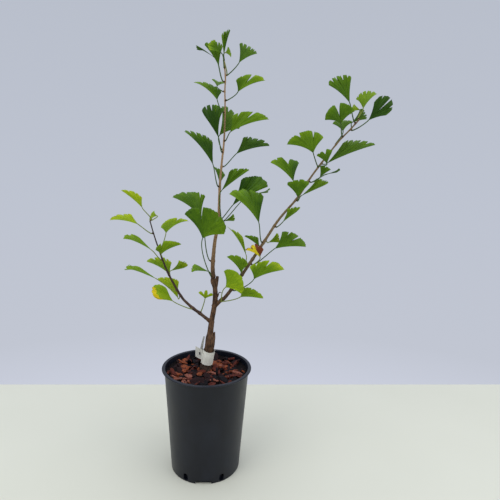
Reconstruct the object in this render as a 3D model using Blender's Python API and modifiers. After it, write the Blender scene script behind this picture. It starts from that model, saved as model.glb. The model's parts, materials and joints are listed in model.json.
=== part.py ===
"""Young grafted ginkgo in a tall round nursery pot, one object for each sub-part.

Metres, +Z up. The origin is the middle of the pot's flat underside, +X is to the
right of the plant as it is looked at and -Y is towards the one who looks.
"""
import math
import random
from collections import namedtuple

import bmesh
import bpy
from mathutils import Matrix, Vector

MM = 0.001
CLEAR = 0.3 * MM
TOWARDS_VIEWER = Vector((0, -1, 0.15))

# Pot: a thin turned shell with a flat flange, drain slots and low arches round its foot
POT_HEIGHT = 192 * MM
FLANGE_RADIUS = 80 * MM
FLANGE_THICKNESS = 3 * MM
WALL_TOP_RADIUS = 75.6 * MM
WALL_FOOT_RADIUS = 62.4 * MM
WALL = 1.5 * MM
FOOT_CORNER = 1.5 * MM
FLOOR = 8 * MM
POT_STEPS = 40
SLOTS = 6
SLOT_START = math.radians(-123)
SLOT_WIDTH = 9 * MM
SLOT_HEIGHT = 13 * MM
SLOT_FOOT = 2.2 * MM
ARCHES = 3
ARCH_START = math.radians(-93)
ARCH_WIDTH = 28 * MM
ARCH_HEIGHT = 6.5 * MM
CUTTER_DEPTH = 12 * MM

# Compost: fills the pot up to 12 mm below the flange, with bark chips on top
COMPOST_TOP = 180 * MM
CHIPS = 38
CHIP_LENGTH = (11 * MM, 21 * MM)
CHIP_WIDTH = (6 * MM, 10 * MM)
CHIP_DEPTH = (3 * MM, 5 * MM)
CHIP_TILT = 0.3
CHIP_CORNER = 0.62
FILLING_GAP = 0.45 * MM
CHIP_SEED = 7
GOLDEN_ANGLE = math.radians(137.5)

# Trunk: thick rootstock up to the graft, then the thinner scion up to a cut stub
TRUNK_PATH = ((-1.5, 14, 180.3), (-1.5, 14, 184), (-0.9, 13.8, 188), (-0.2, 13.4, 192), (1.2, 12.6, 202),
              (3.6, 11.4, 218), (5.2, 10.6, 234), (5.1, 10.2, 243), (5.4, 10, 252), (7.5, 10, 275),
              (11, 10, 296), (13, 10, 312), (12.4, 10, 334), (8.6, 10, 346), (8.6, 10, 351.7))
TRUNK_RADII = (12.6, 11.4, 10.1, 9.2, 8.8, 8.6, 8.9, 8.0, 5.6, 4.9, 4.7, 5.0, 4.3, 4.5, 4.1)
FLARE_RIDGES = 3
FLARE_SWELL = 0.08
FLARE_TOP = 191 * MM
STUB = ((12.8, 10, 333), (15, 9.4, 347), (16.5, 9, 356.5))
STUB_RADII = (3.4, 3.5, 2.9)
SNAG = ((8.5, 9.5, 226), (12.2, 8.6, 240), (13.2, 8.4, 254))
SNAG_RADII = (3.2, 2.3, 1.4)
DEAD_TWIG = ((13, 9, 314), (17.5, 8, 320), (20, 6, 328), (25, 4, 327))
DEAD_TWIG_RADII = (1.6, 1.3, 1.0, 0.7)
COLLAR_LENGTH = 13 * MM
COLLAR_SWELL = (1.3, 1.1)
STRAIGHT_START = 6 * MM
LEFT_FORK = (8, 10.4, 270)
RIGHT_FORK = (12, 10, 302)

# Limbs: places that each shoot passes through, and its radius at its foot and tip
Limb = namedtuple("Limb", "places foot_radius tip_radius taper")
LIMBS = {
    "leader": Limb(((8.6, 10, 352), (8.6, 10, 358), (7.7, 10, 371), (8.3, 11, 389), (11, 12, 420),
                    (16.4, 13, 452), (17.4, 15, 507), (20, 16, 550), (23.4, 16, 591), (24, 14, 640),
                    (23, 12, 671), (23.4, 10, 692), (20, 8, 717)), 3.9, 1.1, 0.55),
    "right_limb": Limb(((32, 0, 323), (58, -8, 363), (90, -18, 418), (116, -26, 463), (144, -33, 500),
                        (167, -40, 540), (201, -48, 589), (219, -52, 610), (232, -55, 626)), 3.2, 1.1, 0.8),
    "left_limb": Limb(((-14, 16, 286), (-32, 23, 298), (-50, 30, 316), (-75, 42, 359), (-95, 50, 411),
                       (-106, 54, 447)), 2.9, 1.0, 0.8),
}
LIMB_STEP = 11 * MM
TUBE_TILT = 0.4
WELD = 0.002 * MM

# Label: a blank wrap-round band with its free tail
BAND_FOOT = (-0.1, 13.4, 192.6)
BAND_HEAD = (3.8, 11.3, 217.5)
BAND_RADIUS = 10.1 * MM
BAND_THICKNESS = 0.8 * MM
TAIL_SIZE = (21.5 * MM, 0.9 * MM, 16 * MM)
TAIL_PLACE = (-14.8, 18.6, 211)
TAIL_TURN = math.radians(-48)
STRAP_SIZE = (6 * MM, 0.9 * MM, 26 * MM)
STRAP_PLACE = (-8.2, 16.5, 226)
STRAP_TURN = math.radians(-20)

# Foliage
SPUR_LENGTH = 3 * MM
SPUR_RADII = (1.7 * MM, 1.2 * MM)
SPUR_SOCKET = 0.7
PETIOLE_RADII = (1.0 * MM, 0.8 * MM)
PETIOLE_STEPS = 3
PETIOLE_EASE = 0.35
PETIOLE_INTO_BLADE = 3 * MM
BLADE_THICKNESS = 0.8 * MM
STRAIGHT_SHARE = 0.62
UNDULATION = 0.035
RIPPLE = 5
SPOKES = (-1, -0.5, 0, 0.5, 1)
SPOKE_MARGIN = 1.6
RINGS = (0.5, 1)
DEEP_CUT = 0.12
NARROW_CUT = 0.09
EDGE_REACH = 1.05
EDGE_RISE = 0.04
EDGE_DROP = 0.08

# A kind of leaf: how much shorter it is at its sides than in its middle, and where it is cut.
# A cut is its place across the fan from -1 to 1, its depth and its half width.
Kind = namedtuple("Kind", "crown cuts")
KINDS = {
    "whole": Kind(0.08, ()),
    "rounded": Kind(0.4, ()),
    "fan": Kind(0, ((0.05, 0.14, 0.08), (-0.5, 0.06, 0.08), (0.56, 0.06, 0.08))),
    "winged": Kind(0, ((0.02, 0.3, 0.3), (-0.6, 0.08, 0.07))),
    "split": Kind(0, ((-0.02, 0.5, 0.1),)),
    "cleft": Kind(0.1, ((0.02, 0.8, 0.15),)),
    "left_slit": Kind(0.14, ((-0.4, 0.45, 0.07), (0.25, 0.08, 0.06))),
    "side_slit": Kind(0, ((0.58, 0.24, 0.07), (-0.3, 0.08, 0.06))),
    "right_slit": Kind(0, ((0.38, 0.5, 0.09), (-0.3, 0.08, 0.07))),
    "three": Kind(0, ((-0.42, 0.2, 0.09), (0.36, 0.36, 0.07))),
    "ragged": Kind(0.06, ((-0.56, 0.16, 0.09), (-0.12, 0.2, 0.08), (0.3, 0.22, 0.08), (0.66, 0.12, 0.07))),
    "fringed": Kind(0, ((-0.66, 0.09, 0.07), (-0.34, 0.13, 0.07), (0.02, 0.1, 0.07), (0.36, 0.14, 0.07),
                        (0.7, 0.1, 0.06))),
    "fingers": Kind(0.4, ((-0.48, 0.12, 0.06), (0.04, 0.6, 0.07), (0.5, 0.14, 0.06))),
    "star": Kind(0.05, ((-0.36, 0.5, 0.26), (0.36, 0.5, 0.26))),
}

# stalk: from the shoot to the foot of the blade. blade: from its foot to the middle of its far edge.
# roll: turn of the blade about its own middle line. spread: opening of the fan. fold: rise of its
# sides. curl: how far its far edge bends back, in radians. lean: growth of its reach across the fan.
Leaf = namedtuple("Leaf", "stalk blade roll spread kind fold curl lean",
                  defaults=(0, 110, "fan", 0.15, 0.24, 0))
Spray = namedtuple("Spray", "limb height leaves")
SPRAYS = (
    Spray("leader", 357, (
        Leaf((-19, -24, 70), (16, -10, 45), 0, 116, "left_slit", 0.05, 0.2, -0.15),
        Leaf((-7, -12, 10), (-28, 4, 8), 66, 56, "fan", 0.1, 0.1))),
    Spray("leader", 383, (Leaf((-21, 12, 76), (-19, 10, 43), 0, 64, "side_slit", 0.15, 0.3, -0.28),)),
    Spray("leader", 443, (Leaf((11, 8, 10), (18, 4, 6), 40, 48, "fan", 0.1, 0.1),)),
    Spray("leader", 451, (Leaf((60, 30, 49), (30, 10, 4), 84, 50, "fan", 0.1, 0.1),)),
    Spray("leader", 456, (
        Leaf((22, -16, 26), (37, -12, 46), 10, 42, "whole", 0.3, 0.3, 0.2),
        Leaf((3, -12, 50), (27, -8, 35), 15, 32, "fan", 0.2, 0.24, 0.25))),
    Spray("leader", 509, (Leaf((0, 15, 7), (3, 9, 25), 10, 48, "fan", 0.15, 0.24, -0.25),)),
    Spray("leader", 513, (Leaf((-12, -12, 36), (-16, -8, 48), 20, 42, "fringed", 0.2, 0.3, -0.32),)),
    Spray("leader", 547, (Leaf((25, 12, 22), (32, 10, 29), 15, 52, "fringed", 0.25, 0.2, 0.4),)),
    Spray("leader", 571, (Leaf((-8, -13, 23), (-16, -8, 47), -45, 52, "ragged", 0.15, 0.3, -0.1),)),
    Spray("leader", 575, (Leaf((-7, 14, 24), (28, 10, 38), -10, 64, "ragged", 0.15, 0.24, -0.22),)),
    Spray("leader", 590, (Leaf((9, -12, 13), (26, -6, 33), 5, 62, "three", 0.3, 0.3, 0.5),)),
    Spray("leader", 636, (
        Leaf((-13, 14, 21), (-6, 10, 26), 5, 74, "fringed", 0.2, 0.2, -0.6),
        Leaf((-4, -7, 1), (-12, -8, 5), 40, 70))),
    Spray("leader", 655, (Leaf((20, -14, 12), (13, -8, 25), 5, 76, "right_slit", 0.3, 0.3, 0.52),)),
    Spray("leader", 669, (Leaf((-13, 9, 9), (3, 12, 13), 0, 75),)),
    Spray("leader", 684, (
        Leaf((-11, -4, 23), (-9, -2, 36), -20, 48, "ragged", 0.2, 0.3, -0.15),
        Leaf((-18, 0, 37), (-27, 6, 18), 75, 40, "ragged", 0.1, 0.1))),
    Spray("leader", 694, (
        Leaf((22, 10, 22), (18, 8, 32), 5, 54, "ragged", 0.15, 0.3, 0.08),
        Leaf((-1, 9, 37), (10, 6, 4), 10, 84, "fan"))),
    Spray("leader", 706, (Leaf((-5, -10, 19), (-17, -10, 13), 20, 58, "ragged", 0.25, 0.4),)),
    Spray("leader", 717, (Leaf((0, -4, 6), (1, -6, 35), -30, 27, "ragged", 0.3, 0.1, 0.1),)),
    Spray("right_limb", 315, (
        Leaf((5, -28, 30), (24, -4, 19), 0, 118, "whole", 0.1),
        Leaf((32, -10, 8), (18, -8, 16), 10, 88, "fan", 0.2, 0.24, 0.45))),
    Spray("right_limb", 337, (Leaf((36, -22, 23), (15, -8, 30), 10, 94, "three", 0.15, 0.3, 0.45),)),
    Spray("right_limb", 358, (Leaf((1, -9, 11), (0, -5, 26), 10, 80, "fan", 0.15, 0.3, -0.35),)),
    Spray("right_limb", 364, (Leaf((8, 20, 29), (-13, 8, 43), 40, 27, "fan", 0.2, 0.3, -0.3),)),
    Spray("right_limb", 385, (
        Leaf((41, -6, 27), (34, -2, 24), 10, 64, "three", 0.2, 0.3, 0.3),
        Leaf((16, -12, 13), (-7, -10, 20), 0, 76, "ragged", 0.5, 1.2, -0.37))),
    Spray("right_limb", 393, (Leaf((13, 14, 18), (-12, 2, 19), 0, 46, "fan", 0.15, 0.24, -0.36),)),
    Spray("right_limb", 422, (Leaf((-11, -22, 36), (-14, -8, 52), 15, 56, "fan", 0.25, 0.5, -0.24),)),
    Spray("right_limb", 426, (Leaf((7, 10, -5), (20, 4, 8), 20, 48, "fan", 0.1, 0.2),)),
    Spray("right_limb", 452, (Leaf((12, -8, 7), (17, -8, 23), 30, 38, "fan", 0.2, 0.24, 0.22),)),
    Spray("right_limb", 497, (
        Leaf((1, -14, 4), (-2, -8, 27), 0, 78, "fan", 0.1, 0.24),
        Leaf((10, 8, 6), (37, 2, 25), 25, 27, "fringed", 0.15, 0.24, 0.22))),
    Spray("right_limb", 503, (Leaf((-7, 14, 23), (-12, 6, 38), 0, 66, "winged", 0.2, 0.24, -0.21),)),
    Spray("right_limb", 528, (
        Leaf((19, 2, 6), (8, -4, 17), 10, 56, "fan", 0.2, 0.24, 0.1),
        Leaf((25, -16, 12), (20, -4, 6), 82, 40, "fan", 0.1, 0.1))),
    Spray("right_limb", 551, (
        Leaf((-13, -16, 21), (-12, -8, 31), 0, 106, "three", 0.1, 0.3, -0.22),
        Leaf((10, -15, 5), (-6, -8, 19), 5, 74, "winged", 0.1))),
    Spray("right_limb", 557, (Leaf((12, 12, 0), (50, 8, 38), 15, 33, "fringed", 0.3, 0.2, 0.42),)),
    Spray("right_limb", 587, (Leaf((14, 14, 22), (-1, 12, 20), 0, 92, "fan", 0.15, 0.24, 0.1),)),
    Spray("right_limb", 599, (Leaf((-10, -20, 18), (-8, -12, 25), 0, 122, "cleft", 0.2, 0.4),)),
    Spray("right_limb", 611, (
        Leaf((24, -10, 13), (30, -8, 33), 0, 58, "fingers", 0.2, 0.24),
        Leaf((4, 8, 11), (24, 6, 17), 25, 44, "ragged", 0.1, 0.2, 0.1))),
    Spray("right_limb", 620, (Leaf((-14, -8, 29), (-19, -6, 37), 0, 54, "ragged", 0.1, 0.3, -0.08),)),
    Spray("right_limb", 626, (
        Leaf((7, 6, 17), (2, 6, 27), 10, 78, "ragged", 0.15, 0.24, 0.4),
        Leaf((3, 8, 15), (-17, -4, 7), 0, 62, "whole", 0.2, 2.0))),
    Spray("left_limb", 286, (Leaf((9, -10, 30), (2, -8, 15), 0, 104, "star"),)),
    Spray("left_limb", 294, (Leaf((-34, -12, 16), (-32, -8, 26), 10, 54, "rounded", 0.2),)),
    Spray("left_limb", 315, (Leaf((-5, 14, -10), (-16, 6, 36), 0, 50, "fan", 0.15, 0.24, -0.27),)),
    Spray("left_limb", 324, (Leaf((-35, -14, 24), (-44, -6, 27), 78, 40, "fan", 0.15, 0.12, -0.12),)),
    Spray("left_limb", 351, (Leaf((4, -12, 10), (26, -8, 13), 55, 56),)),
    Spray("left_limb", 356, (Leaf((3, 16, -9), (-16, 8, 30), 0, 68, "ragged", 0.15, 0.24, -0.42),)),
    Spray("left_limb", 378, (Leaf((-17, -10, 18), (-36, -6, 31), 72, 40, "fan", 0.15, 0.15, -0.15),)),
    Spray("left_limb", 383, (Leaf((1, -14, 7), (2, -10, 20), 0, 108, "split", 0.15, 0.24, 0.6),)),
    Spray("left_limb", 397, (Leaf((12, 12, 27), (3, 10, 24), 0, 97, "side_slit", 0.2, 0.3, 0.62),)),
    Spray("left_limb", 425, (Leaf((-25, -8, 16), (-29, 4, 19), 20, 44, "fan", 0.15, 0.3, -0.4),)),
    Spray("left_limb", 447, (
        Leaf((-12, -6, 23), (-12, -6, 26), 0, 48, "fan", 0.2, 0.24, -0.47),
        Leaf((12, 10, 8), (-17, 4, 4), 20, 84, "whole", 0.2, 1.0))),
)


def clear_scene():
    """Start from an empty scene."""
    for item in list(bpy.data.objects):
        bpy.data.objects.remove(item, do_unlink=True)


def point(values):
    """A place given in millimetres, in metres."""
    return Vector(values) * MM


def material(name, colour, roughness, metallic=0.0):
    """A plain Principled material."""
    made = bpy.data.materials.new(name)
    made.use_nodes = True
    shader = made.node_tree.nodes["Principled BSDF"]
    shader.inputs["Base Color"].default_value = (*colour, 1)
    shader.inputs["Roughness"].default_value = roughness
    shader.inputs["Metallic"].default_value = metallic
    return made


def add_object(name, data, collection):
    """Put a mesh or a curve in the scene."""
    made = bpy.data.objects.new(name, data)
    collection.objects.link(made)
    return made


def bake(source, name=None, weld=False):
    """Replace an object by the closed mesh of triangles that its curve or modifiers make."""
    graph = bpy.context.evaluated_depsgraph_get()
    mesh = bpy.data.meshes.new_from_object(source.evaluated_get(graph))
    shape = bmesh.new()
    shape.from_mesh(mesh)
    if weld:
        bmesh.ops.remove_doubles(shape, verts=shape.verts, dist=WELD)
    bmesh.ops.triangulate(shape, faces=shape.faces)
    shape.to_mesh(mesh)
    shape.free()
    made = bpy.data.objects.new(name or source.name, mesh)
    made.matrix_world = source.matrix_world
    for collection in source.users_collection:
        collection.objects.link(made)
    bpy.data.objects.remove(source)
    return made


def fuse(base, collection):
    """Join a collection's objects to the base by one Boolean union, and remove them."""
    union = base.modifiers.new("union", "BOOLEAN")
    union.operation = "UNION"
    union.operand_type = "COLLECTION"
    union.collection = collection
    union.solver = "EXACT"
    name = base.name
    base.name = name + "_base"
    joined = bake(base, name)
    for item in list(collection.objects):
        bpy.data.objects.remove(item)
    return joined


def cut(base, collection, name):
    """Cut a collection's objects out of the base."""
    hole = base.modifiers.new("holes", "BOOLEAN")
    hole.operation = "DIFFERENCE"
    hole.operand_type = "COLLECTION"
    hole.collection = collection
    hole.solver = "EXACT"
    return bake(base, name)


def turned(name, profile, steps, collection):
    """Turn a profile of (radius, height) points round the upright axis."""
    mesh = bpy.data.meshes.new(name)
    edges = [(i, i + 1) for i in range(len(profile) - 1)]
    mesh.from_pydata([(radius, 0, height) for radius, height in profile], edges, [])
    made = add_object(name, mesh, collection)
    screw = made.modifiers.new("turn", "SCREW")
    screw.steps = steps
    screw.render_steps = steps
    screw.use_merge_vertices = True
    screw.merge_threshold = 0.01 * MM
    return bake(made)


def box(name, size, place, turn, collection):
    """A block of the given size, turned about the upright axis."""
    shape = bmesh.new()
    bmesh.ops.create_cube(shape, size=1)
    bmesh.ops.scale(shape, vec=size, verts=shape.verts)
    mesh = bpy.data.meshes.new(name)
    shape.to_mesh(mesh)
    shape.free()
    made = add_object(name, mesh, collection)
    made.location = place
    made.rotation_euler = (0, 0, turn)
    return made


def smooth_route(places, step):
    """Points about a step apart on a smooth curve through the places."""
    ends = [places[0] * 2 - places[1]] + list(places) + [places[-1] * 2 - places[-2]]
    route = []
    for before, start, end, after in zip(ends, ends[1:], ends[2:], ends[3:]):
        count = max(1, round((end - start).length / step))
        for i in range(count):
            t = i / count
            bent = (2 * before - 5 * start + 4 * end - after) * t * t
            twisted = (3 * start - 3 * end + after - before) * t * t * t
            route.append(0.5 * (2 * start + (end - before) * t + bent + twisted))
    return route + [places[-1]]


def tube(name, route, radii, resolution, collection):
    """A round limb along a route, with a radius at each of its points and filled ends."""
    curve = bpy.data.curves.new(name, "CURVE")
    curve.dimensions = "3D"
    curve.bevel_depth = 1
    curve.bevel_resolution = resolution
    curve.use_fill_caps = True
    spline = curve.splines.new("POLY")
    spline.points.add(len(route) - 1)
    for knot, place, radius in zip(spline.points, route, radii):
        knot.co = (*place, 1)
        knot.radius = radius
        knot.tilt = TUBE_TILT
    return bake(add_object(name, curve, collection), weld=True)


def make_pot(collection, cutters):
    """The pot's shell, its drain slots and the low arches between some of them."""
    slope = (WALL_TOP_RADIUS - WALL_FOOT_RADIUS) / POT_HEIGHT
    inner_top = WALL_TOP_RADIUS - WALL
    inner_foot = WALL_FOOT_RADIUS - WALL + slope * FLOOR
    flange_foot = POT_HEIGHT - FLANGE_THICKNESS
    round_over = FLANGE_THICKNESS / 3
    wall_at_corner = WALL_FOOT_RADIUS + slope * FOOT_CORNER
    corner_middle = WALL_FOOT_RADIUS - FOOT_CORNER
    corner = [(corner_middle + FOOT_CORNER * math.cos(angle), FOOT_CORNER - FOOT_CORNER * math.sin(angle))
              for angle in (math.radians(30), math.radians(60), math.radians(90))]
    profile = [(0, FLOOR), (inner_foot, FLOOR), (inner_top, POT_HEIGHT - round_over),
               (inner_top + round_over, POT_HEIGHT), (FLANGE_RADIUS - round_over, POT_HEIGHT),
               (FLANGE_RADIUS, POT_HEIGHT - round_over), (FLANGE_RADIUS, flange_foot + round_over),
               (FLANGE_RADIUS - round_over, flange_foot), (WALL_TOP_RADIUS, flange_foot),
               (wall_at_corner, FOOT_CORNER)] + corner + [(0, 0)]
    shell = turned("pot_shell", profile, POT_STEPS, collection)
    for i in range(SLOTS):
        turn = SLOT_START + i * math.tau / SLOTS
        out = Vector((math.cos(turn), math.sin(turn), 0)) * WALL_FOOT_RADIUS
        middle = out + Vector((0, 0, SLOT_FOOT + SLOT_HEIGHT / 2))
        box("slot", (CUTTER_DEPTH, SLOT_WIDTH, SLOT_HEIGHT), middle, turn, cutters)
    for i in range(ARCHES):
        turn = ARCH_START + i * math.tau / ARCHES
        out = Vector((math.cos(turn), math.sin(turn), 0)) * WALL_FOOT_RADIUS
        box("arch", (CUTTER_DEPTH, ARCH_WIDTH, 2 * ARCH_HEIGHT), out, turn, cutters)
    return cut(shell, cutters, "pot")


def make_compost(collection, loose):
    """The pot's filling, with the largest bark chips standing out of its level top."""
    slope = (WALL_TOP_RADIUS - WALL_FOOT_RADIUS) / POT_HEIGHT
    foot = FLOOR + CLEAR
    foot_radius = WALL_FOOT_RADIUS - WALL - FILLING_GAP + slope * foot
    top_radius = foot_radius + slope * (COMPOST_TOP - foot)
    profile = [(0, COMPOST_TOP), (top_radius, COMPOST_TOP), (foot_radius, foot), (0, foot)]
    filling = turned("compost", profile, POT_STEPS, collection)
    dice = random.Random(CHIP_SEED)
    trunk_foot = point(TRUNK_PATH[0])
    for i in range(CHIPS):
        length = dice.uniform(*CHIP_LENGTH)
        reach = (top_radius - length * CHIP_CORNER) * math.sqrt((i + 0.5) / CHIPS)
        turn = i * GOLDEN_ANGLE
        place = Vector((reach * math.cos(turn), reach * math.sin(turn), COMPOST_TOP))
        size = (length, dice.uniform(*CHIP_WIDTH), dice.uniform(*CHIP_DEPTH))
        tilt = [dice.uniform(-CHIP_TILT, CHIP_TILT) for axis in range(2)] + [dice.uniform(0, math.tau)]
        clear_of_trunk = TRUNK_RADII[0] * MM * (1 + FLARE_SWELL) + length * CHIP_CORNER
        if (place.xy - trunk_foot.xy).length < clear_of_trunk:
            continue
        chip = box("chip", size, place, 0, loose)
        chip.rotation_euler = tilt
    return fuse(filling, loose)


def make_trunk(collection, loose):
    """Root flare, graft and scion, with the collars of both limbs, a cut stub, a snag and a dead twig."""
    route = [point(place) for place in TRUNK_PATH]
    column = tube("trunk", route, [radius * MM for radius in TRUNK_RADII], 4, collection)
    foot = route[0]
    for vertex in column.data.vertices:
        rise = max(0.0, (FLARE_TOP - vertex.co.z) / (FLARE_TOP - foot.z))
        around = math.atan2(vertex.co.y - foot.y, vertex.co.x - foot.x)
        swell = 1 + FLARE_SWELL * rise * math.cos(FLARE_RIDGES * around)
        vertex.co.x = foot.x + (vertex.co.x - foot.x) * swell
        vertex.co.y = foot.y + (vertex.co.y - foot.y) * swell
    for fork, limb in ((LEFT_FORK, "left_limb"), (RIGHT_FORK, "right_limb")):
        heading = (point(LIMBS[limb].places[0]) - point(fork)).normalized()
        radius = LIMBS[limb].foot_radius * MM
        sizes = [radius * swell for swell in COLLAR_SWELL]
        tube("collar", [point(fork), point(fork) + heading * COLLAR_LENGTH], sizes, 2, loose)
    tube("stub", [point(place) for place in STUB], [radius * MM for radius in STUB_RADII], 2, loose)
    tube("snag", [point(place) for place in SNAG], [radius * MM for radius in SNAG_RADII], 2, loose)
    sizes = [radius * MM for radius in DEAD_TWIG_RADII]
    tube("dead_twig", [point(place) for place in DEAD_TWIG], sizes, 1, loose)
    return fuse(column, loose)


def limb_places(name):
    """Where a shoot runs, from 0.3 mm clear of the trunk to its tip."""
    places = [point(place) for place in LIMBS[name].places]
    forks = {"left_limb": LEFT_FORK, "right_limb": RIGHT_FORK}
    if name in forks:
        fork = point(forks[name])
        heading = (places[0] - fork).normalized()
        places.insert(0, fork + heading * (COLLAR_LENGTH + CLEAR + STRAIGHT_START))
        places.insert(0, fork + heading * (COLLAR_LENGTH + CLEAR))
    return places


def limb_radius(limb, share):
    """A shoot's radius at a share of the way from its foot to its tip."""
    return (limb.tip_radius + (limb.foot_radius - limb.tip_radius) * (1 - share) ** (1 / limb.taper)) * MM


def limb_routes():
    """The points of each shoot, with the radius at each."""
    routes = {}
    for name, limb in LIMBS.items():
        route = smooth_route(limb_places(name), LIMB_STEP)
        last = len(route) - 1
        routes[name] = (route, [limb_radius(limb, i / last) for i in range(len(route))])
    return routes


def limb_at(route, radii, height):
    """The place, heading and radius of a shoot at a height, or of its tip."""
    for start, end, first, second in zip(route, route[1:], radii, radii[1:]):
        if start.z <= height < end.z:
            share = (height - start.z) / (end.z - start.z)
            return start.lerp(end, share), (end - start).normalized(), first + (second - first) * share
    return None


def deep_cuts(kind):
    """The cuts that are deep enough to be built, none of them too narrow."""
    return [(place, depth, max(half_width, NARROW_CUT))
            for place, depth, half_width in KINDS[kind].cuts if depth > DEEP_CUT]


def far_edge(kind, t):
    """How far the blade reaches at a place across the fan, as a share of its length."""
    reach = EDGE_REACH + (EDGE_RISE - KINDS[kind].crown) * t * t - EDGE_DROP * t ** 6
    for place, depth, half_width in deep_cuts(kind):
        reach -= depth * max(0.0, 1 - abs(t - place) / half_width)
    return reach


def spoke_places(kind):
    """The spokes of a fan, with a spoke at the bottom and on both lips of each cut."""
    cuts = deep_cuts(kind)
    places = [t for t in SPOKES
              if all(abs(t - place) > half_width * SPOKE_MARGIN for place, depth, half_width in cuts)]
    for place, depth, half_width in cuts:
        places += [place - half_width, place, place + half_width]
    return sorted(places)


def blade_frame(leaf):
    """The blade's middle line, its side direction and the direction it faces."""
    along = Vector(leaf.blade).normalized()
    facing = (TOWARDS_VIEWER - along * TOWARDS_VIEWER.dot(along)).normalized()
    facing = Matrix.Rotation(math.radians(leaf.roll), 3, along) @ facing
    return along, along.cross(facing), facing


def blade_point(leaf, frame, foot, t, ring):
    """A point of the curved blade, at a place across the fan and a share of the way out."""
    along, aside, facing = frame
    length = Vector(leaf.blade).length * MM
    angle = t * math.radians(leaf.spread) / 2 * (STRAIGHT_SHARE + (1 - STRAIGHT_SHARE) * ring)
    share = far_edge(leaf.kind, t) * math.exp(leaf.lean * t) * ring
    bend = leaf.curl * share
    out = length * math.cos(angle) * math.sin(bend) / leaf.curl
    across = length * share * math.sin(angle)
    lift = leaf.fold * abs(across) - length * (1 - math.cos(bend)) / leaf.curl
    lift += UNDULATION * length * ring ** 2 * math.sin(RIPPLE * t + length / MM)
    return foot + along * out + aside * across + facing * lift


def make_blade(leaf, foot, collection):
    """A fan-shaped blade of an even thickness."""
    frame = blade_frame(leaf)
    places = spoke_places(leaf.kind)
    shape = bmesh.new()
    apex = shape.verts.new(foot)
    rows = [[shape.verts.new(blade_point(leaf, frame, foot, t, ring)) for t in places] for ring in RINGS]
    for first, second in zip(rows[0], rows[0][1:]):
        shape.faces.new((apex, first, second))
    for inner, outer in zip(rows, rows[1:]):
        for i in range(len(places) - 1):
            shape.faces.new((inner[i], outer[i], outer[i + 1], inner[i + 1]))
    mesh = bpy.data.meshes.new("blade")
    shape.to_mesh(mesh)
    shape.free()
    made = add_object("blade", mesh, collection)
    solid = made.modifiers.new("thickness", "SOLIDIFY")
    solid.thickness = BLADE_THICKNESS
    solid.offset = 0
    return bake(made)


def petiole_route(start, out, foot, along):
    """The bent line of a leaf's stalk, from the spur into the blade."""
    length = (foot - start).length
    heading = (out + (foot - start).normalized() * 2).normalized()
    first = start + heading * length * PETIOLE_EASE
    second = foot - along * length * PETIOLE_EASE
    route = []
    for i in range(PETIOLE_STEPS + 1):
        t = i / PETIOLE_STEPS
        middle = first * 3 * t * (1 - t) ** 2 + second * 3 * t * t * (1 - t)
        route.append(start * (1 - t) ** 3 + middle + foot * t ** 3)
    return route + [foot + along * PETIOLE_INTO_BLADE]


def make_spray(name, spray, routes, collection, loose):
    """The leaves of one short spur, fused with it."""
    route, radii = routes[spray.limb]
    found = limb_at(route, radii, spray.height * MM)
    pull = sum((Vector(leaf.stalk) for leaf in spray.leaves), Vector())
    if found:
        node, heading, radius = found
        out = (pull - heading * pull.dot(heading)).normalized()
    else:
        node, heading, radius = route[-1], (route[-1] - route[-2]).normalized(), 0
        out = heading
    foot = node + out * (radius + CLEAR)
    shape = bmesh.new()
    bmesh.ops.create_cone(shape, cap_ends=True, segments=6, radius1=SPUR_RADII[0], radius2=SPUR_RADII[1],
                          depth=SPUR_LENGTH)
    bmesh.ops.translate(shape, verts=shape.verts, vec=(0, 0, SPUR_LENGTH / 2))
    mesh = bpy.data.meshes.new(name)
    shape.to_mesh(mesh)
    shape.free()
    spur = add_object(name, mesh, collection)
    spur.matrix_world = Matrix.Translation(foot) @ out.to_track_quat("Z", "Y").to_matrix().to_4x4()
    start = foot + out * SPUR_LENGTH * SPUR_SOCKET
    for leaf in spray.leaves:
        blade_foot = node + point(leaf.stalk)
        along = Vector(leaf.blade).normalized()
        stalk = petiole_route(start, out, blade_foot, along)
        last = len(stalk) - 1
        thinning = (PETIOLE_RADII[1] - PETIOLE_RADII[0]) / last
        thin = [PETIOLE_RADII[0] + thinning * i for i in range(len(stalk))]
        tube("petiole", stalk, thin, 0, loose)
        make_blade(leaf, blade_foot, loose)
    return fuse(spur, loose)


def make_label(collection, loose):
    """A blank wrap-round band on the trunk, with its tail and strap."""
    foot, head = point(BAND_FOOT), point(BAND_HEAD)
    up = head - foot
    shape = bmesh.new()
    bmesh.ops.create_cone(shape, cap_ends=False, segments=16, radius1=BAND_RADIUS, radius2=BAND_RADIUS,
                          depth=up.length)
    mesh = bpy.data.meshes.new("band")
    shape.to_mesh(mesh)
    shape.free()
    band = add_object("label", mesh, collection)
    turn = up.to_track_quat("Z", "Y").to_matrix().to_4x4()
    band.matrix_world = Matrix.Translation((foot + head) / 2) @ turn
    solid = band.modifiers.new("thickness", "SOLIDIFY")
    solid.thickness = BAND_THICKNESS
    solid.offset = 1
    bpy.context.view_layer.update()
    band = bake(band, "label")
    box("tail", TAIL_SIZE, point(TAIL_PLACE), TAIL_TURN, loose)
    box("strap", STRAP_SIZE, point(STRAP_PLACE), STRAP_TURN, loose)
    return fuse(band, loose)


def finish(item, name, surface):
    """Name a part, give it its material and shade it."""
    item.name = name
    item.data.name = name
    item.data.materials.clear()
    item.data.materials.append(surface)
    item.data.shade_smooth()
    item.data.set_sharp_from_angle(angle=math.radians(40))


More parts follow.
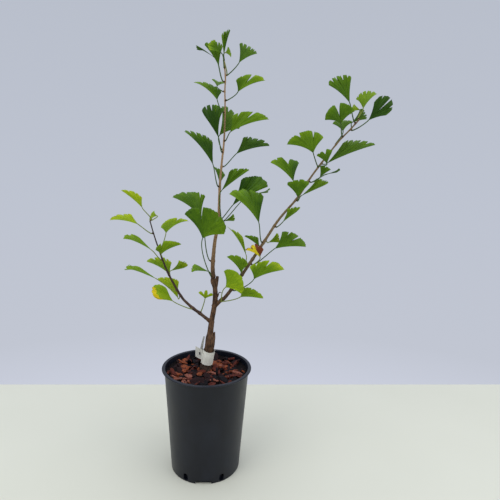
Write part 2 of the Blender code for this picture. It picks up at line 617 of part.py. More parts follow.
def main():
    clear_scene()
    scene = bpy.context.scene.collection
    plant = bpy.data.collections.new("potted_ginkgo")
    cutters = bpy.data.collections.new("cutters")
    loose = bpy.data.collections.new("loose")
    for collection in (plant, cutters, loose):
        scene.children.link(collection)
    plastic = material("black_plastic", (0.022, 0.025, 0.03), 0.42)
    bark_chips = material("bark_chips", (0.11, 0.045, 0.025), 0.9)
    bark = material("dark_bark", (0.07, 0.04, 0.022), 0.85)
    shoot_bark = material("shoot_bark", (0.25, 0.14, 0.07), 0.7)
    leaf_green = material("leaf_green", (0.07, 0.2, 0.02), 0.5)
    white = material("white_plastic", (0.78, 0.78, 0.76), 0.5)

    finish(make_pot(plant, cutters), "pot", plastic)
    for cutter in list(cutters.objects):
        bpy.data.objects.remove(cutter)
    finish(make_compost(plant, loose), "compost", bark_chips)
    finish(make_trunk(plant, loose), "trunk", bark)
    finish(make_label(plant, loose), "label", white)
    routes = limb_routes()
    for name, (route, radii) in routes.items():
        finish(tube(name, route, radii, 2, plant), name, shoot_bark)
    counts = dict.fromkeys(LIMBS, 0)
    for spray in SPRAYS:
        counts[spray.limb] += 1
        name = "%s_spray_%02d" % (spray.limb.replace("_limb", ""), counts[spray.limb])
        finish(make_spray(name, spray, routes, plant, loose), name, leaf_green)
    bpy.data.collections.remove(cutters)
    bpy.data.collections.remove(loose)


main()
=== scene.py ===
"""Young grafted ginkgo in its nursery pot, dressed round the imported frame.

Metres, +Z up, with the origin in the middle of the pot's flat underside.
"""
import json
import math
import random
from collections import namedtuple

import bmesh
import bpy
from mathutils import Matrix, Vector, noise

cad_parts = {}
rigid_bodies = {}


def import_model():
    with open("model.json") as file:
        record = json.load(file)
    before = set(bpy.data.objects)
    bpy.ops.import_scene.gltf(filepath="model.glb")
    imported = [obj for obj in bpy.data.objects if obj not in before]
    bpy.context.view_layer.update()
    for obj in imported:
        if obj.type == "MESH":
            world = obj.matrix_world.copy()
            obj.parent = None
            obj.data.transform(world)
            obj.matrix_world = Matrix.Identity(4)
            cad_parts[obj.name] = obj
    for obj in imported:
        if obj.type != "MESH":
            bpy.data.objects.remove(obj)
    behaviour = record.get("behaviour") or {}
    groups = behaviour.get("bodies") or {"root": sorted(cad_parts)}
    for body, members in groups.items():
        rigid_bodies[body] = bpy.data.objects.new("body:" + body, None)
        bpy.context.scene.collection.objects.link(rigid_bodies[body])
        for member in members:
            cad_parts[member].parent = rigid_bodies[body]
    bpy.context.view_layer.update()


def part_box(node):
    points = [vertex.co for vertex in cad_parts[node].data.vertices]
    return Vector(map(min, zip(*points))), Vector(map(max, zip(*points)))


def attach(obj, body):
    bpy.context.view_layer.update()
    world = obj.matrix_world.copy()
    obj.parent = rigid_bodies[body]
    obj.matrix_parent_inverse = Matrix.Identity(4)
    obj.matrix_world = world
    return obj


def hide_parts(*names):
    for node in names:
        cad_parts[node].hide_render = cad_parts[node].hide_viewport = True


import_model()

MM = 0.001
TOWARDS_VIEWER = Vector((0, -1, 0.15))
GOLDEN_ANGLE = math.radians(137.5)
SHARP_EDGE = math.radians(50)

# Camera, at the picture's viewing angle
CAMERA_PLACE = (0, -0.7829, 0.5477)
CAMERA_PITCH = math.radians(10.22)
CAMERA_YAW = math.radians(5.23)
CAMERA_ROLL = math.radians(1.76)
CAMERA_LENS = 33.12
CAMERA_SENSOR = 36
CAMERA_CLIP = 0.02

# Stage, room and lamps. A lamp: its name, place, size, power and colour.
STAGE_EDGE = (0, 0.3125, 0)
STAGE_TURN = math.radians(-1.45)
STAGE_REACH = 3
STAGE_TONES = ((0.3, (0.60, 0.59, 0.48)), (0.7, (0.62, 0.61, 0.50)))
ROOM_SPAN = (-0.45, 0.3)
ROOM_TONES = ((0.0, (0.60, 0.63, 0.73)), (0.14, (0.535, 0.565, 0.645)), (0.5, (0.515, 0.55, 0.635)),
              (1.0, (0.485, 0.52, 0.60)))
CEILING_SPAN = (0.4, 0.85)
CEILING_GAIN = 2.6
LAMPS_LOOK_AT = Vector((0.05, 0, 0.35))
LAMPS = (("window", (-1.3, -1.2, 1.7), 1.4, 13, (1.0, 0.99, 0.97)),
         ("fill", (1.6, -0.9, 1.1), 1.4, 8, (1.0, 0.99, 0.98)))

# Pot
_, POT_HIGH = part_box("pot")
POT_HEIGHT = POT_HIGH.z
FLANGE_RADIUS = POT_HIGH.x
FLANGE_THICKNESS = 3 * MM
FLANGE_FLAT = 0.1 * MM
RIM_ROUND = 1.2 * MM
UNDER_ROUND = 1 * MM
UNDER_START = 1.3 * MM
WALL_TOP_RADIUS = FLANGE_RADIUS - 4.4 * MM
WALL_FOOT_RADIUS = FLANGE_RADIUS - 17.6 * MM
WALL = 1.5 * MM
STACKING_LINE = 9 * MM
STACKING_STEP = 0.25 * MM
FOOT_CORNER = 1.5 * MM
FLOOR = 8 * MM
INNER_CORNER = 12 * MM
POT_STEPS = 160
POT_SHARP_EDGE = math.radians(42)
PLASTIC_TONES = ((0.42, (0.0042, 0.0055, 0.0102)), (0.72, (0.0085, 0.011, 0.0185)))
SLOTS = 6
SLOT_START = math.radians(-123)
SLOT_WIDTH = 9 * MM
SLOT_HEIGHT = 13 * MM
SLOT_FOOT = 2.2 * MM
SLOT_CORNER = 3.6 * MM
ARCHES = 3
ARCH_START = math.radians(-93)
ARCH_WIDTH = 28 * MM
ARCH_HEIGHT = 6.5 * MM
ARCH_CORNER = 1.2 * MM
CUTTER_DEPTH = 12 * MM

# Compost. GROUND_LUMPS: how fine its lumps are, and how high.
COMPOST_TOP = 178.5 * MM
COMPOST_RADIUS = 72.9 * MM
HEAP = 4.5 * MM
GROUND_ROWS = 26
GROUND_STEPS = 90
GROUND_LUMPS = ((160, 2.2 * MM), (420, 1.0 * MM))
SOIL_TONES = ((0.4, (0.002, 0.0017, 0.002)), (0.7, (0.012, 0.006, 0.005)))

# Bark chips. CHIP_SECTION: how wide and how high a flake is, from its underside to its top.
# CHIP_BROWNS: name, light and dark colour, and how many in a hundred take it.
CHIPS = 240
CHIP_SEED = 11
CHIP_LENGTH = (7 * MM, 32 * MM)
CHIP_BIAS = 1.4
CHIP_WIDTH = (0.3, 0.65)
CHIP_THICKNESS = (1.8, 4.2)
CHIP_LAYER = 3.5 * MM
CHIP_LIFT = (-1, 0.8)
CHIP_TILTS = (0.3, 0.25)
CHIP_CORNERS = 8
CHIP_CRAGS = 0.35
CHIP_REACH = (0.7, 1.1)
CHIP_BEND = 0.16
CHIP_SECTION = ((0.5, -1.0), (0.95, -0.5), (1.0, 0.2), (0.9, 0.8), (0.5, 1.0))
CHIP_BROWNS = (
    ("red", (0.1, 0.02, 0.011), (0.012, 0.003, 0.003), 24),
    ("orange", (0.24, 0.06, 0.021), (0.03, 0.007, 0.004), 11),
    ("rosy", (0.24, 0.085, 0.055), (0.06, 0.014, 0.009), 9),
    ("dark", (0.018, 0.005, 0.005), (0.004, 0.002, 0.0025), 30),
    ("black", (0.005, 0.0028, 0.004), (0.0015, 0.0013, 0.002), 26),
)
TRUNK_CLEAR = 12 * MM

# Trunk: thick rootstock up to the graft, then the thinner scion up to a cut stub
TRUNK_PATH = ((-1.5, 14, 176), (-1.5, 14, 180.3), (-1.5, 14, 184), (-0.9, 13.8, 188),
              (-0.2, 13.4, 192), (1.2, 12.6, 202), (3.6, 11.4, 218), (5.2, 10.6, 234),
              (5.1, 10.2, 243), (5.4, 10, 252), (7.5, 10, 275), (11, 10, 296),
              (13, 10, 312), (12.4, 10, 334), (8.6, 10, 346), (8.6, 10, 352))
TRUNK_RADII = (13.6, 12.6, 11.4, 10.1, 9.2, 8.8, 8.6, 8.9, 8.0, 5.6, 4.7, 4.5, 4.8, 4.2, 4.4, 3.9)
STUB = ((12.8, 10, 333), (15, 9.4, 347), (16.5, 9, 356.5))
STUB_RADII = (3.4, 3.4, 2.7)
DEAD_TWIG = ((13, 9, 314), (17.5, 8, 320), (20, 6, 328), (25, 4, 327))
DEAD_TWIG_RADII = (1.5, 1.2, 0.9, 0.6)
SNAG = ((8.5, 9.5, 226), (12.2, 8.6, 240), (13.2, 8.4, 254))
SNAG_RADII = (3.2, 2.2, 1.2)
FORKS = {"left_limb": (8, 10.4, 270), "right_limb": (12, 10, 302)}
COLLAR_LENGTH = 13 * MM
COLLAR_SWELL = (1.5, 1.25, 1.02)
COLLAR_GAP = 0.3 * MM
STRAIGHT_START = 6 * MM
TUBE_STEP = 1.2 * MM
BARK_VOXEL = 0.55 * MM
BARK_SMOOTHING = 4
ROOT_TOP = 200 * MM
OLD_BARK = ((0.135, 0.07, 0.034), (0.02, 0.01, 0.006))
ROOT_BARK = ((0.06, 0.03, 0.017), (0.01, 0.006, 0.004))

# Relief of the trunk's bark: how fine each kind is, and its height in millimetres
BARK_STRETCH = 0.28
FISSURES = (520, 0.75)
LUMPS = (130, 0.5)
PITS = (900, 0.16)
YOUNG_RELIEF = 0.35

# Limbs: places that each shoot passes through, and its radius at its foot and tip
Limb = namedtuple("Limb", "places foot_radius tip_radius taper")
LIMBS = {
    "leader": Limb(((8.6, 10, 352), (8.6, 10, 358), (7.7, 10, 371), (8.3, 11, 389), (11, 12, 420),
                    (16.4, 13, 452), (17.4, 15, 507), (20, 16, 550), (23.4, 16, 591), (24, 14, 640),
                    (23, 12, 671), (23.4, 10, 692), (20, 8, 717)), 3.9, 1.1, 0.55),
    "right_limb": Limb(((32, 0, 323), (58, -8, 363), (90, -18, 418), (116, -26, 463), (144, -33, 500),
                        (167, -40, 540), (201, -48, 589), (219, -52, 610), (232, -55, 626)), 3.2, 1.1, 0.8),
    "left_limb": Limb(((-14, 16, 286), (-32, 23, 298), (-50, 30, 316), (-75, 42, 359),
                       (-95, 50, 411), (-106, 54, 447)), 2.9, 1.0, 0.8),
}
LIMB_STEP = 1.6 * MM
LIMB_SIDES = 22
LIMB_STUMP = 2.5 * MM
BUD_REACH = 2.2 * MM
BUD_SWELL = 0.22
TWIG_STRETCH = 0.35
TWIG_FISSURES = (900, 0.1)
TWIG_LUMPS = (300, 0.09)

# Bark of each shoot: light, dark and young colour, and the heights between which it turns young
LIMB_TONES = {
    "leader": ((0.14, 0.072, 0.034), (0.03, 0.015, 0.008), (0.36, 0.225, 0.11), (0.35, 0.45)),
    "right_limb": ((0.12, 0.07, 0.036), (0.03, 0.017, 0.01), (0.2, 0.135, 0.062), (0.33, 0.43)),
    "left_limb": ((0.1, 0.055, 0.03), (0.026, 0.014, 0.01), (0.045, 0.027, 0.018), (0.29, 0.36)),
}

# Label: a blank wrap-round band with its punched tail and a clear strap.
# TAIL_HOLE: the hole's place across and up, and its half width and half height.
BAND_FOOT = (-0.1, 13.4, 192.6)
BAND_HEAD = (3.8, 11.3, 217.5)
BAND_RADIUS = 10.3 * MM
BAND_STEPS = 72
BAND_ROWS = 12
BAND_START = math.radians(120)
BAND_TURN = math.radians(385)
BAND_LAP = 0.5 * MM
BAND_DENT = 0.4 * MM
LABEL_THICKNESS = 0.35 * MM
TAIL_SIZE = (21.5 * MM, 20 * MM)
TAIL_PLACE = (-14.8, 18.6, 209)
TAIL_TURN = math.radians(-48)
TAIL_HOLE = (2.6 * MM, -0.3 * MM, 2.3 * MM, 3.2 * MM)
TAIL_STEPS = 28
TAIL_BOW = 0.8 * MM
STRAP_SIZE = (6 * MM, 30 * MM)
STRAP_PLACE = (-8.2, 16.5, 227)
STRAP_TURN = math.radians(-20)
STRAP_LEAN = 5 * MM
STRAP_BOW = 2 * MM
STRAP_ROWS = 18

# Spurs and stalks. STALK_START: how far outside the shoot's skin a stalk starts.
# PETIOLE_END: how thin a stalk is at its last rings.
# SPUR_SECTION: width and height along a spur, past its bud scales to its tip.
PHASE_SEED = 5
SPUR_RADIUS = 1.7 * MM
SPUR_RISE = 0.35
SPUR_SIDES = 12
SPUR_SECTION = ((0.85, -0.9), (1.0, 0.0), (0.92, 0.35), (1.05, 0.5), (0.86, 0.85), (1.0, 1.05),
                (0.78, 1.5), (0.84, 1.75), (0.5, 2.3), (0.2, 2.9))
SPUR_BARK = ((0.12, 0.062, 0.035), (0.022, 0.012, 0.009))
STALK_START = 2.4 * MM
PETIOLE_RADII = (1.0 * MM, 0.8 * MM)
PETIOLE_STEPS = 22
PETIOLE_END = {0: 0.2, 1: 0.6, 2: 0.9}
PETIOLE_SIDES = 8
PETIOLE_EASE = 0.25
STALK_TONES = (("stalk_green", (0.05, 0.098, 0.018)), ("stalk_lime", (0.19, 0.235, 0.04)))
LIME_STEP = 7

# Blades. A pair of waves or teeth: how deep they are, and how many lie across.
BLADE_THICKNESS = 0.35 * MM
STRAIGHT_SHARE = 0.62
SPOKES = 104
RINGS = 13
RING_EASE = 0.85
EDGE_REACH = 1.05
EDGE_ROUND = 0.04
EDGE_DROOP = 0.08
EDGE_WAVES = (0.035, 5)
EDGE_TEETH = (0.045, 9)
CUT_TAPER = 1.2
TROUGH = 0.06
UNDULATION = (0.035, 5)
PLEATS = (0.007, 21)
LIP = 0.5
LIP_START = 0.7
LEAF_STREAKS = (40, 1.4, 1)
LEAF_VEINS = (110, 1.2, 1)

# A kind of leaf: how much shorter it is at its sides than in its middle, and where it is cut.
# A cut is its place across the fan from -1 to 1, its depth and its half width.
Kind = namedtuple("Kind", "crown cuts")
KINDS = {
    "whole": Kind(0.08, ()),
    "rounded": Kind(0.4, ()),
    "fan": Kind(0, ((0.05, 0.14, 0.08), (-0.5, 0.06, 0.08), (0.56, 0.06, 0.08))),
    "winged": Kind(0, ((0.02, 0.3, 0.3), (-0.6, 0.08, 0.07))),
    "split": Kind(0, ((-0.02, 0.5, 0.1),)),
    "cleft": Kind(0.1, ((0.02, 0.8, 0.15),)),
    "left_slit": Kind(0.14, ((-0.4, 0.45, 0.07), (0.25, 0.08, 0.06))),
    "side_slit": Kind(0, ((0.58, 0.24, 0.07), (-0.3, 0.08, 0.06))),
    "right_slit": Kind(0, ((0.38, 0.5, 0.09), (-0.3, 0.08, 0.07))),
    "three": Kind(0, ((-0.42, 0.2, 0.09), (0.36, 0.36, 0.07))),
    "ragged": Kind(0.06, ((-0.56, 0.16, 0.09), (-0.12, 0.2, 0.08), (0.3, 0.22, 0.08),
                          (0.66, 0.12, 0.07))),
    "fringed": Kind(0, ((-0.66, 0.09, 0.07), (-0.34, 0.13, 0.07), (0.02, 0.1, 0.07), (0.36, 0.14, 0.07),
                        (0.7, 0.1, 0.06))),
    "fingers": Kind(0.4, ((-0.48, 0.12, 0.06), (0.04, 0.6, 0.07), (0.5, 0.14, 0.06))),
    "star": Kind(0.05, ((-0.36, 0.5, 0.26), (0.36, 0.5, 0.26))),
}

# stalk: from the shoot to the foot of the blade. blade: from its foot to the middle of its far edge.
# roll: turn of the blade about its own middle line. spread: opening of the fan. fold: rise of its
# sides. curl: how far its far edge bends back, in radians. lean: growth of its reach across the fan.
Leaf = namedtuple("Leaf", "stalk blade roll spread kind tint fold curl lean",
                  defaults=(0, 110, "fan", "mid", 0.15, 0.24, 0))

# Sprays of each shoot: the height of the spur, and its leaves
SPRAYS = {
    "leader": (
        (357, Leaf((-19, -24, 70), (16, -10, 45), 0, 116, "left_slit", "two_tone", 0.05, 0.2, -0.15),
         Leaf((-7, -12, 10), (-28, 4, 8), 66, 56, "fan", "fresh", 0.1, 0.1)),
        (383, Leaf((-21, 12, 76), (-19, 10, 43), 0, 64, "side_slit", "mid", 0.15, 0.3, -0.28)),
        (443, Leaf((11, 8, 10), (18, 4, 6), 40, 48, "fan", "fresh", 0.1, 0.1)),
        (451, Leaf((60, 30, 49), (30, 10, 4), 84, 50, "fan", "mid", 0.1, 0.1)),
        (456, Leaf((22, -16, 26), (37, -12, 46), 10, 42, "whole", "half_lit", 0.3, 0.3, 0.2),
         Leaf((3, -12, 50), (27, -8, 35), 15, 32, "fan", "mid", 0.2, 0.24, 0.25)),
        (509, Leaf((0, 15, 7), (3, 9, 25), 10, 48, "fan", "mid", 0.15, 0.24, -0.25)),
        (513, Leaf((-12, -12, 36), (-16, -8, 48), 20, 42, "fringed", "dark_rimmed", 0.2, 0.3, -0.32)),
        (547, Leaf((25, 12, 22), (32, 10, 29), 15, 52, "fringed", "deep", 0.25, 0.2, 0.4)),
        (571, Leaf((-8, -13, 23), (-16, -8, 47), -45, 52, "ragged", "dark", 0.15, 0.3, -0.1)),
        (575, Leaf((-7, 14, 24), (28, 10, 38), -10, 64, "ragged", "mid", 0.15, 0.24, -0.22)),
        (590, Leaf((9, -12, 13), (26, -6, 33), 5, 62, "three", "fresh", 0.3, 0.3, 0.5)),
        (636, Leaf((-13, 14, 21), (-6, 10, 26), 5, 74, "fringed", "left_light", 0.2, 0.2, -0.6),
         Leaf((-4, -7, 1), (-12, -8, 5), 40, 70, "fan", "fresh")),
        (655, Leaf((20, -14, 12), (13, -8, 25), 5, 76, "right_slit", "right_light", 0.3, 0.3, 0.52)),
        (669, Leaf((-13, 9, 9), (3, 12, 13), 0, 75, "fan", "fresh")),
        (684, Leaf((-11, -4, 23), (-9, -2, 36), -20, 48, "ragged", "mid", 0.2, 0.3, -0.15),
         Leaf((-18, 0, 37), (-27, 6, 18), 75, 40, "ragged", "deep", 0.1, 0.1)),
        (694, Leaf((22, 10, 22), (18, 8, 32), 5, 54, "ragged", "mid", 0.15, 0.3, 0.08),
         Leaf((-1, 9, 37), (10, 6, 4), 10, 84, "fan", "light")),
        (706, Leaf((-5, -10, 19), (-17, -10, 13), 20, 58, "ragged", "tipped", 0.25, 0.4)),
        (717, Leaf((0, -4, 6), (1, -6, 35), -30, 27, "ragged", "left_light", 0.3, 0.1, 0.1)),
    ),
    "right_limb": (
        (315, Leaf((5, -28, 30), (24, -4, 19), 0, 118, "whole", "bright", 0.1),
         Leaf((32, -10, 8), (18, -8, 16), 10, 88, "fan", "light", 0.2, 0.24, 0.45)),
        (337, Leaf((36, -22, 23), (15, -8, 30), 10, 94, "three", "rimmed", 0.15, 0.3, 0.45)),
        (358, Leaf((1, -9, 11), (0, -5, 26), 10, 80, "fan", "fresh", 0.15, 0.3, -0.35)),
        (364, Leaf((8, 20, 29), (-13, 8, 43), 40, 27, "fan", "lime_edge", 0.2, 0.3, -0.3)),
        (385, Leaf((41, -6, 27), (34, -2, 24), 10, 64, "three", "mid", 0.2, 0.3, 0.3),
         Leaf((16, -12, 13), (-7, -10, 20), 0, 76, "ragged", "dying", 0.5, 1.2, -0.37)),
        (393, Leaf((13, 14, 18), (-12, 2, 19), 0, 46, "fan", "mid", 0.15, 0.24, -0.36)),
        (422, Leaf((-11, -22, 36), (-14, -8, 52), 15, 56, "fan", "left_light", 0.25, 0.5, -0.24)),
        (426, Leaf((7, 10, -5), (20, 4, 8), 20, 48, "fan", "lime_edge", 0.1, 0.2)),
        (452, Leaf((12, -8, 7), (17, -8, 23), 30, 38, "fan", "fresh", 0.2, 0.24, 0.22)),
        (497, Leaf((1, -14, 4), (-2, -8, 27), 0, 78, "fan", "mid", 0.1, 0.24),
         Leaf((10, 8, 6), (37, 2, 25), 25, 27, "fringed", "fresh", 0.15, 0.24, 0.22)),
        (503, Leaf((-7, 14, 23), (-12, 6, 38), 0, 66, "winged", "left_light", 0.2, 0.24, -0.21)),
        (528, Leaf((19, 2, 6), (8, -4, 17), 10, 56, "fan", "mid", 0.2, 0.24, 0.1),
         Leaf((25, -16, 12), (20, -4, 6), 82, 40, "fan", "deep", 0.1, 0.1)),
        (551, Leaf((-13, -16, 21), (-12, -8, 31), 0, 106, "three", "fresh", 0.1, 0.3, -0.22),
         Leaf((10, -15, 5), (-6, -8, 19), 5, 74, "winged", "mid", 0.1)),
        (557, Leaf((12, 12, 0), (50, 8, 38), 15, 33, "fringed", "mid", 0.3, 0.2, 0.42)),
        (587, Leaf((14, 14, 22), (-1, 12, 20), 0, 92, "fan", "mid", 0.15, 0.24, 0.1)),
        (599, Leaf((-10, -20, 18), (-8, -12, 25), 0, 122, "cleft", "mid", 0.2, 0.4)),
        (611, Leaf((24, -10, 13), (30, -8, 33), 0, 58, "fingers", "dark", 0.2, 0.24),
         Leaf((4, 8, 11), (24, 6, 17), 25, 44, "ragged", "mid", 0.1, 0.2, 0.1)),
        (620, Leaf((-14, -8, 29), (-19, -6, 37), 0, 54, "ragged", "mid", 0.1, 0.3, -0.08)),
        (626, Leaf((7, 6, 17), (2, 6, 27), 10, 78, "ragged", "light", 0.15, 0.24, 0.4),
         Leaf((3, 8, 15), (-17, -4, 7), 0, 62, "whole", "lime", 0.2, 2.0)),
    ),
    "left_limb": (
        (286, Leaf((9, -10, 30), (2, -8, 15), 0, 104, "star", "lime")),
        (294, Leaf((-34, -12, 16), (-32, -8, 26), 10, 54, "rounded", "edged", 0.2)),
        (315, Leaf((-5, 14, -10), (-16, 6, 36), 0, 50, "fan", "lime", 0.15, 0.24, -0.27)),
        (324, Leaf((-35, -14, 24), (-44, -6, 27), 78, 40, "fan", "light", 0.15, 0.12, -0.12)),
        (351, Leaf((4, -12, 10), (26, -8, 13), 55, 56, "fan", "lime_edge")),
        (356, Leaf((3, 16, -9), (-16, 8, 30), 0, 68, "ragged", "lime_edge", 0.15, 0.24, -0.42)),
        (378, Leaf((-17, -10, 18), (-36, -6, 31), 72, 40, "fan", "light", 0.15, 0.15, -0.15)),
        (383, Leaf((1, -14, 7), (2, -10, 20), 0, 108, "split", "light", 0.15, 0.24, 0.6)),
        (397, Leaf((12, 12, 27), (3, 10, 24), 0, 97, "side_slit", "lime_edge", 0.2, 0.3, 0.62)),
        (425, Leaf((-25, -8, 16), (-29, 4, 19), 20, 44, "fan", "pale", 0.15, 0.3, -0.4)),
        (447, Leaf((-12, -6, 23), (-12, -6, 26), 0, 48, "fan", "pale", 0.2, 0.24, -0.47),
         Leaf((12, 10, 8), (-17, 4, 4), 20, 84, "whole", "lime", 0.2, 1.0)),
    ),
}

# Leaf colours run from dark green to yellow in even steps between these
GREENS = ((0.012, 0.042, 0.001), (0.048, 0.112, 0.002), (0.125, 0.225, 0.003), (0.300, 0.390, 0.006),
          (0.560, 0.440, 0.008))
GREEN_STEPS = 4
BROWN = (0.13, 0.035, 0.010)
BROWN_STEP = GREEN_STEPS * (len(GREENS) - 1) + 1

# Mottling and streaks of a blade's colour: how many steps, and how fine across and along
MOTTLE = (1.1, 5, 6)
STREAKS = (0.7, 24, 1.6)

# A tint: its step among the greens, its rise from the left side of the blade to the right one,
# which paints light and shade across the blade, and its rise towards the far edge, which paints
# a highlight along the blade's margin
Tint = namedtuple("Tint", "step across rim")
TINTS = {
    "dark": Tint(1.2, 0.5, 1.6),
    "deep": Tint(2.7, -0.6, 1.8),
    # a dark blade with a painted highlight along its far margin
    "dark_rimmed": Tint(1.6, -0.6, 4.2),
    "half_lit": Tint(2.6, 2.0, 1.0),
    # painted light: the right half of this blade lighter, the left half in painted shade
    "two_tone": Tint(5.2, 1.8, 0.6),
    "mid": Tint(4.5, 0.4, 2.0),
    "left_light": Tint(4.2, -2.4, 2.6),
    "right_light": Tint(5.8, 2.0, 3.0),
    "fresh": Tint(6.2, 0.3, 2.0),
    "light": Tint(7.8, 0.4, 1.8),
    # a painted highlight along the far margin
    "rimmed": Tint(6.6, 0.6, 5.0),
    # a lime blade with a painted highlight along its far margin
    "lime_edge": Tint(8.4, 0.6, 3.4),
    # a strong painted highlight at the far edge, with the left side painted lighter
    "tipped": Tint(5.0, -1.0, 6.5),
    "bright": Tint(9.4, 0.8, 0.6),
    "lime": Tint(10.2, 0.0, 1.8),
    "pale": Tint(11.2, 0.3, 1.6),
    "edged": Tint(9.6, -1.0, 0.6),
    "dying": Tint(15.4, 0.0, 0.4),
}


class Shape:
    """Points and faces of one joined piece, with a material number for each face."""

    def __init__(self):
        self.points = []
        self.faces = []
        self.paints = []
        self.charts = []

    def add(self, points, faces, paints, charts=None):
        """Add points with their faces. paints is one material number, or one for each face."""
        first = len(self.points)
        self.points += points
        self.charts += charts if charts else [(0.0, 0.0)] * len(points)
        self.faces += [tuple(first + i for i in face) for face in faces]
        self.paints += paints if isinstance(paints, list) else [paints] * len(faces)

    def build(self, name, materials):
        """The piece as a smooth-shaded object in the scene."""
        mesh = bpy.data.meshes.new(name)
        mesh.from_pydata(self.points, [], self.faces)
        for material in materials:
            mesh.materials.append(material)
        mesh.polygons.foreach_set("material_index", self.paints)
        chart = mesh.uv_layers.new(name="chart")
        for loop in mesh.loops:
            chart.data[loop.index].uv = self.charts[loop.vertex_index]
        mesh.shade_smooth()
        mesh.update()
        return linked(name, mesh)


class Graph:
    """A node tree that is being put together."""

    def __init__(self, tree):
        self.tree = tree

    def node(self, kind, inputs=None, **settings):
        """A node with its settings and its input values or links."""
        made = self.tree.nodes.new(kind)
        for name, value in settings.items():
            setattr(made, name, value)
        for name, value in (inputs or {}).items():
            if isinstance(value, bpy.types.NodeSocket):
                self.tree.links.new(value, made.inputs[name])
            else:
                made.inputs[name].default_value = value
        return made

    def span(self, value, low, high, start=0.0, end=1.0, ease="LINEAR"):
        """A value carried over from one range to another."""
        inputs = {"Value": value, "From Min": low, "From Max": high, "To Min": start, "To Max": end}
        return self.node("ShaderNodeMapRange", inputs, interpolation_type=ease).outputs["Result"]

    def ramp(self, value, *stops):
        """A colour for each value. A stop is a place from 0 to 1 and a colour."""
        made = self.node("ShaderNodeValToRGB", {"Fac": value})
        marks = made.color_ramp.elements
        while len(marks) < len(stops):
            marks.new(0.5)
        for mark, (place, colour) in zip(marks, stops):
            mark.position = place
            mark.color = (*colour, 1)
        return made.outputs["Color"]


class Finish(Graph):
    """A procedural material that is being put together."""

    def __init__(self, name, roughness, specular=0.5):
        self.material = bpy.data.materials.new(name)
        self.material.use_nodes = True
        super().__init__(self.material.node_tree)
        self.shader = self.tree.nodes["Principled BSDF"]
        self.shader.inputs["Roughness"].default_value = roughness
        self.shader.inputs["Specular IOR Level"].default_value = specular

    def place(self, stretch=(1, 1, 1), chart=False):
        """Where a point lies, stretched: on its chart, or in the plant's own frame."""
        source = self.node("ShaderNodeTexCoord").outputs["UV" if chart else "Object"]
        return self.node("ShaderNodeMapping", {"Vector": source, "Scale": stretch}).outputs["Vector"]

    def grain(self, scale, detail=4.0, rough=0.55, stretch=(1, 1, 1), chart=False):
        """A cloudy value from 0 to 1."""
        inputs = {"Vector": self.place(stretch, chart), "Scale": scale, "Detail": detail, "Roughness": rough}
        return self.node("ShaderNodeTexNoise", inputs).outputs["Fac"]

    def mix(self, share, first, second):
        """One colour into another."""
        made = self.node("ShaderNodeMix", data_type="RGBA")
        sockets = (made.inputs[0], made.inputs[6], made.inputs[7])
        for socket, value in zip(sockets, (share, first, second)):
            if isinstance(value, bpy.types.NodeSocket):
                self.tree.links.new(value, socket)
            else:
                socket.default_value = value
        return made.outputs[2]

    def use(self, socket, value):
        """Feed one of the shader's sockets."""
        self.tree.links.new(value, self.shader.inputs[socket])

    def bump(self, height, strength, distance):
        """Fine relief."""
        inputs = {"Height": height, "Strength": strength, "Distance": distance}
        self.use("Normal", self.node("ShaderNodeBump", inputs).outputs["Normal"])


def point(values):
    """A place given in millimetres, in metres."""
    return Vector(values) * MM


def spoke(angle):
    """A level direction."""
    return Vector((math.cos(angle), math.sin(angle), 0))


def smooth_route(places, step):
    """Points about a step apart on a smooth curve through the places."""
    ends = [places[0] * 2 - places[1]] + list(places) + [places[-1] * 2 - places[-2]]
    route = []
    for before, start, end, after in zip(ends, ends[1:], ends[2:], ends[3:]):
        bend = 2 * before - 5 * start + 4 * end - after
        twist = 3 * start - 3 * end + after - before
        count = max(1, round((end - start).length / step))
        for i in range(count):
            t = i / count
            route.append(0.5 * (2 * start + (end - before) * t + bend * t * t + twist * t * t * t))
    return route + [places[-1]]


def smooth_sizes(sizes, places, step):
    """Sizes that follow smooth_route's points, read on straight lines between the places."""
    out = []
    for size, after, start, end in zip(sizes, sizes[1:], places, places[1:]):
        count = max(1, round((end - start).length / step))
        out += [size + (after - size) * i / count for i in range(count)]
    return out + [sizes[-1]]


def rings_along(route, radius_at, sides):
    """Rings of points round a route, each at right angles to it. radius_at takes a ring and an angle."""
    rings = []
    aside = None
    for i, place in enumerate(route):
        along = (route[min(i + 1, len(route) - 1)] - route[max(i - 1, 0)]).normalized()
        if aside is None:
            aside = along.orthogonal().normalized()
        aside = (aside - along * aside.dot(along)).normalized()
        across = along.cross(aside)
        ring = []
        for k in range(sides):
            angle = k * math.tau / sides
            outward = aside * math.cos(angle) + across * math.sin(angle)
            ring.append(place + outward * radius_at(i, angle))
        rings.append(ring)
    return rings


def skin(rings):
    """Points and faces over a row of rings, with a flat face on each end."""
    sides = len(rings[0])
    points = [place for ring in rings for place in ring]
    faces = []
    for near in range(0, (len(rings) - 1) * sides, sides):
        far = near + sides
        for k in range(sides):
            after = (k + 1) % sides
            faces.append((near + k, near + after, far + after, far + k))
    faces.append(tuple(range(sides - 1, -1, -1)))
    faces.append(tuple(range(len(points) - sides, len(points))))
    return points, faces


def linked(name, mesh):
    """A new object in the scene."""
    made = bpy.data.objects.new(name, mesh)
    bpy.context.scene.collection.objects.link(made)
    return made


def ride(piece, slot, *nodes):
    """Fix a piece to the plant and hide the nodes it stands for. slot, the finish it takes, is not used."""
    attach(piece, "root")
    if nodes:
        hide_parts(*nodes)


def scaled(colour, factor):
    """A lighter or darker shade of a colour."""
    return tuple(min(1.0, part * factor) for part in colour)


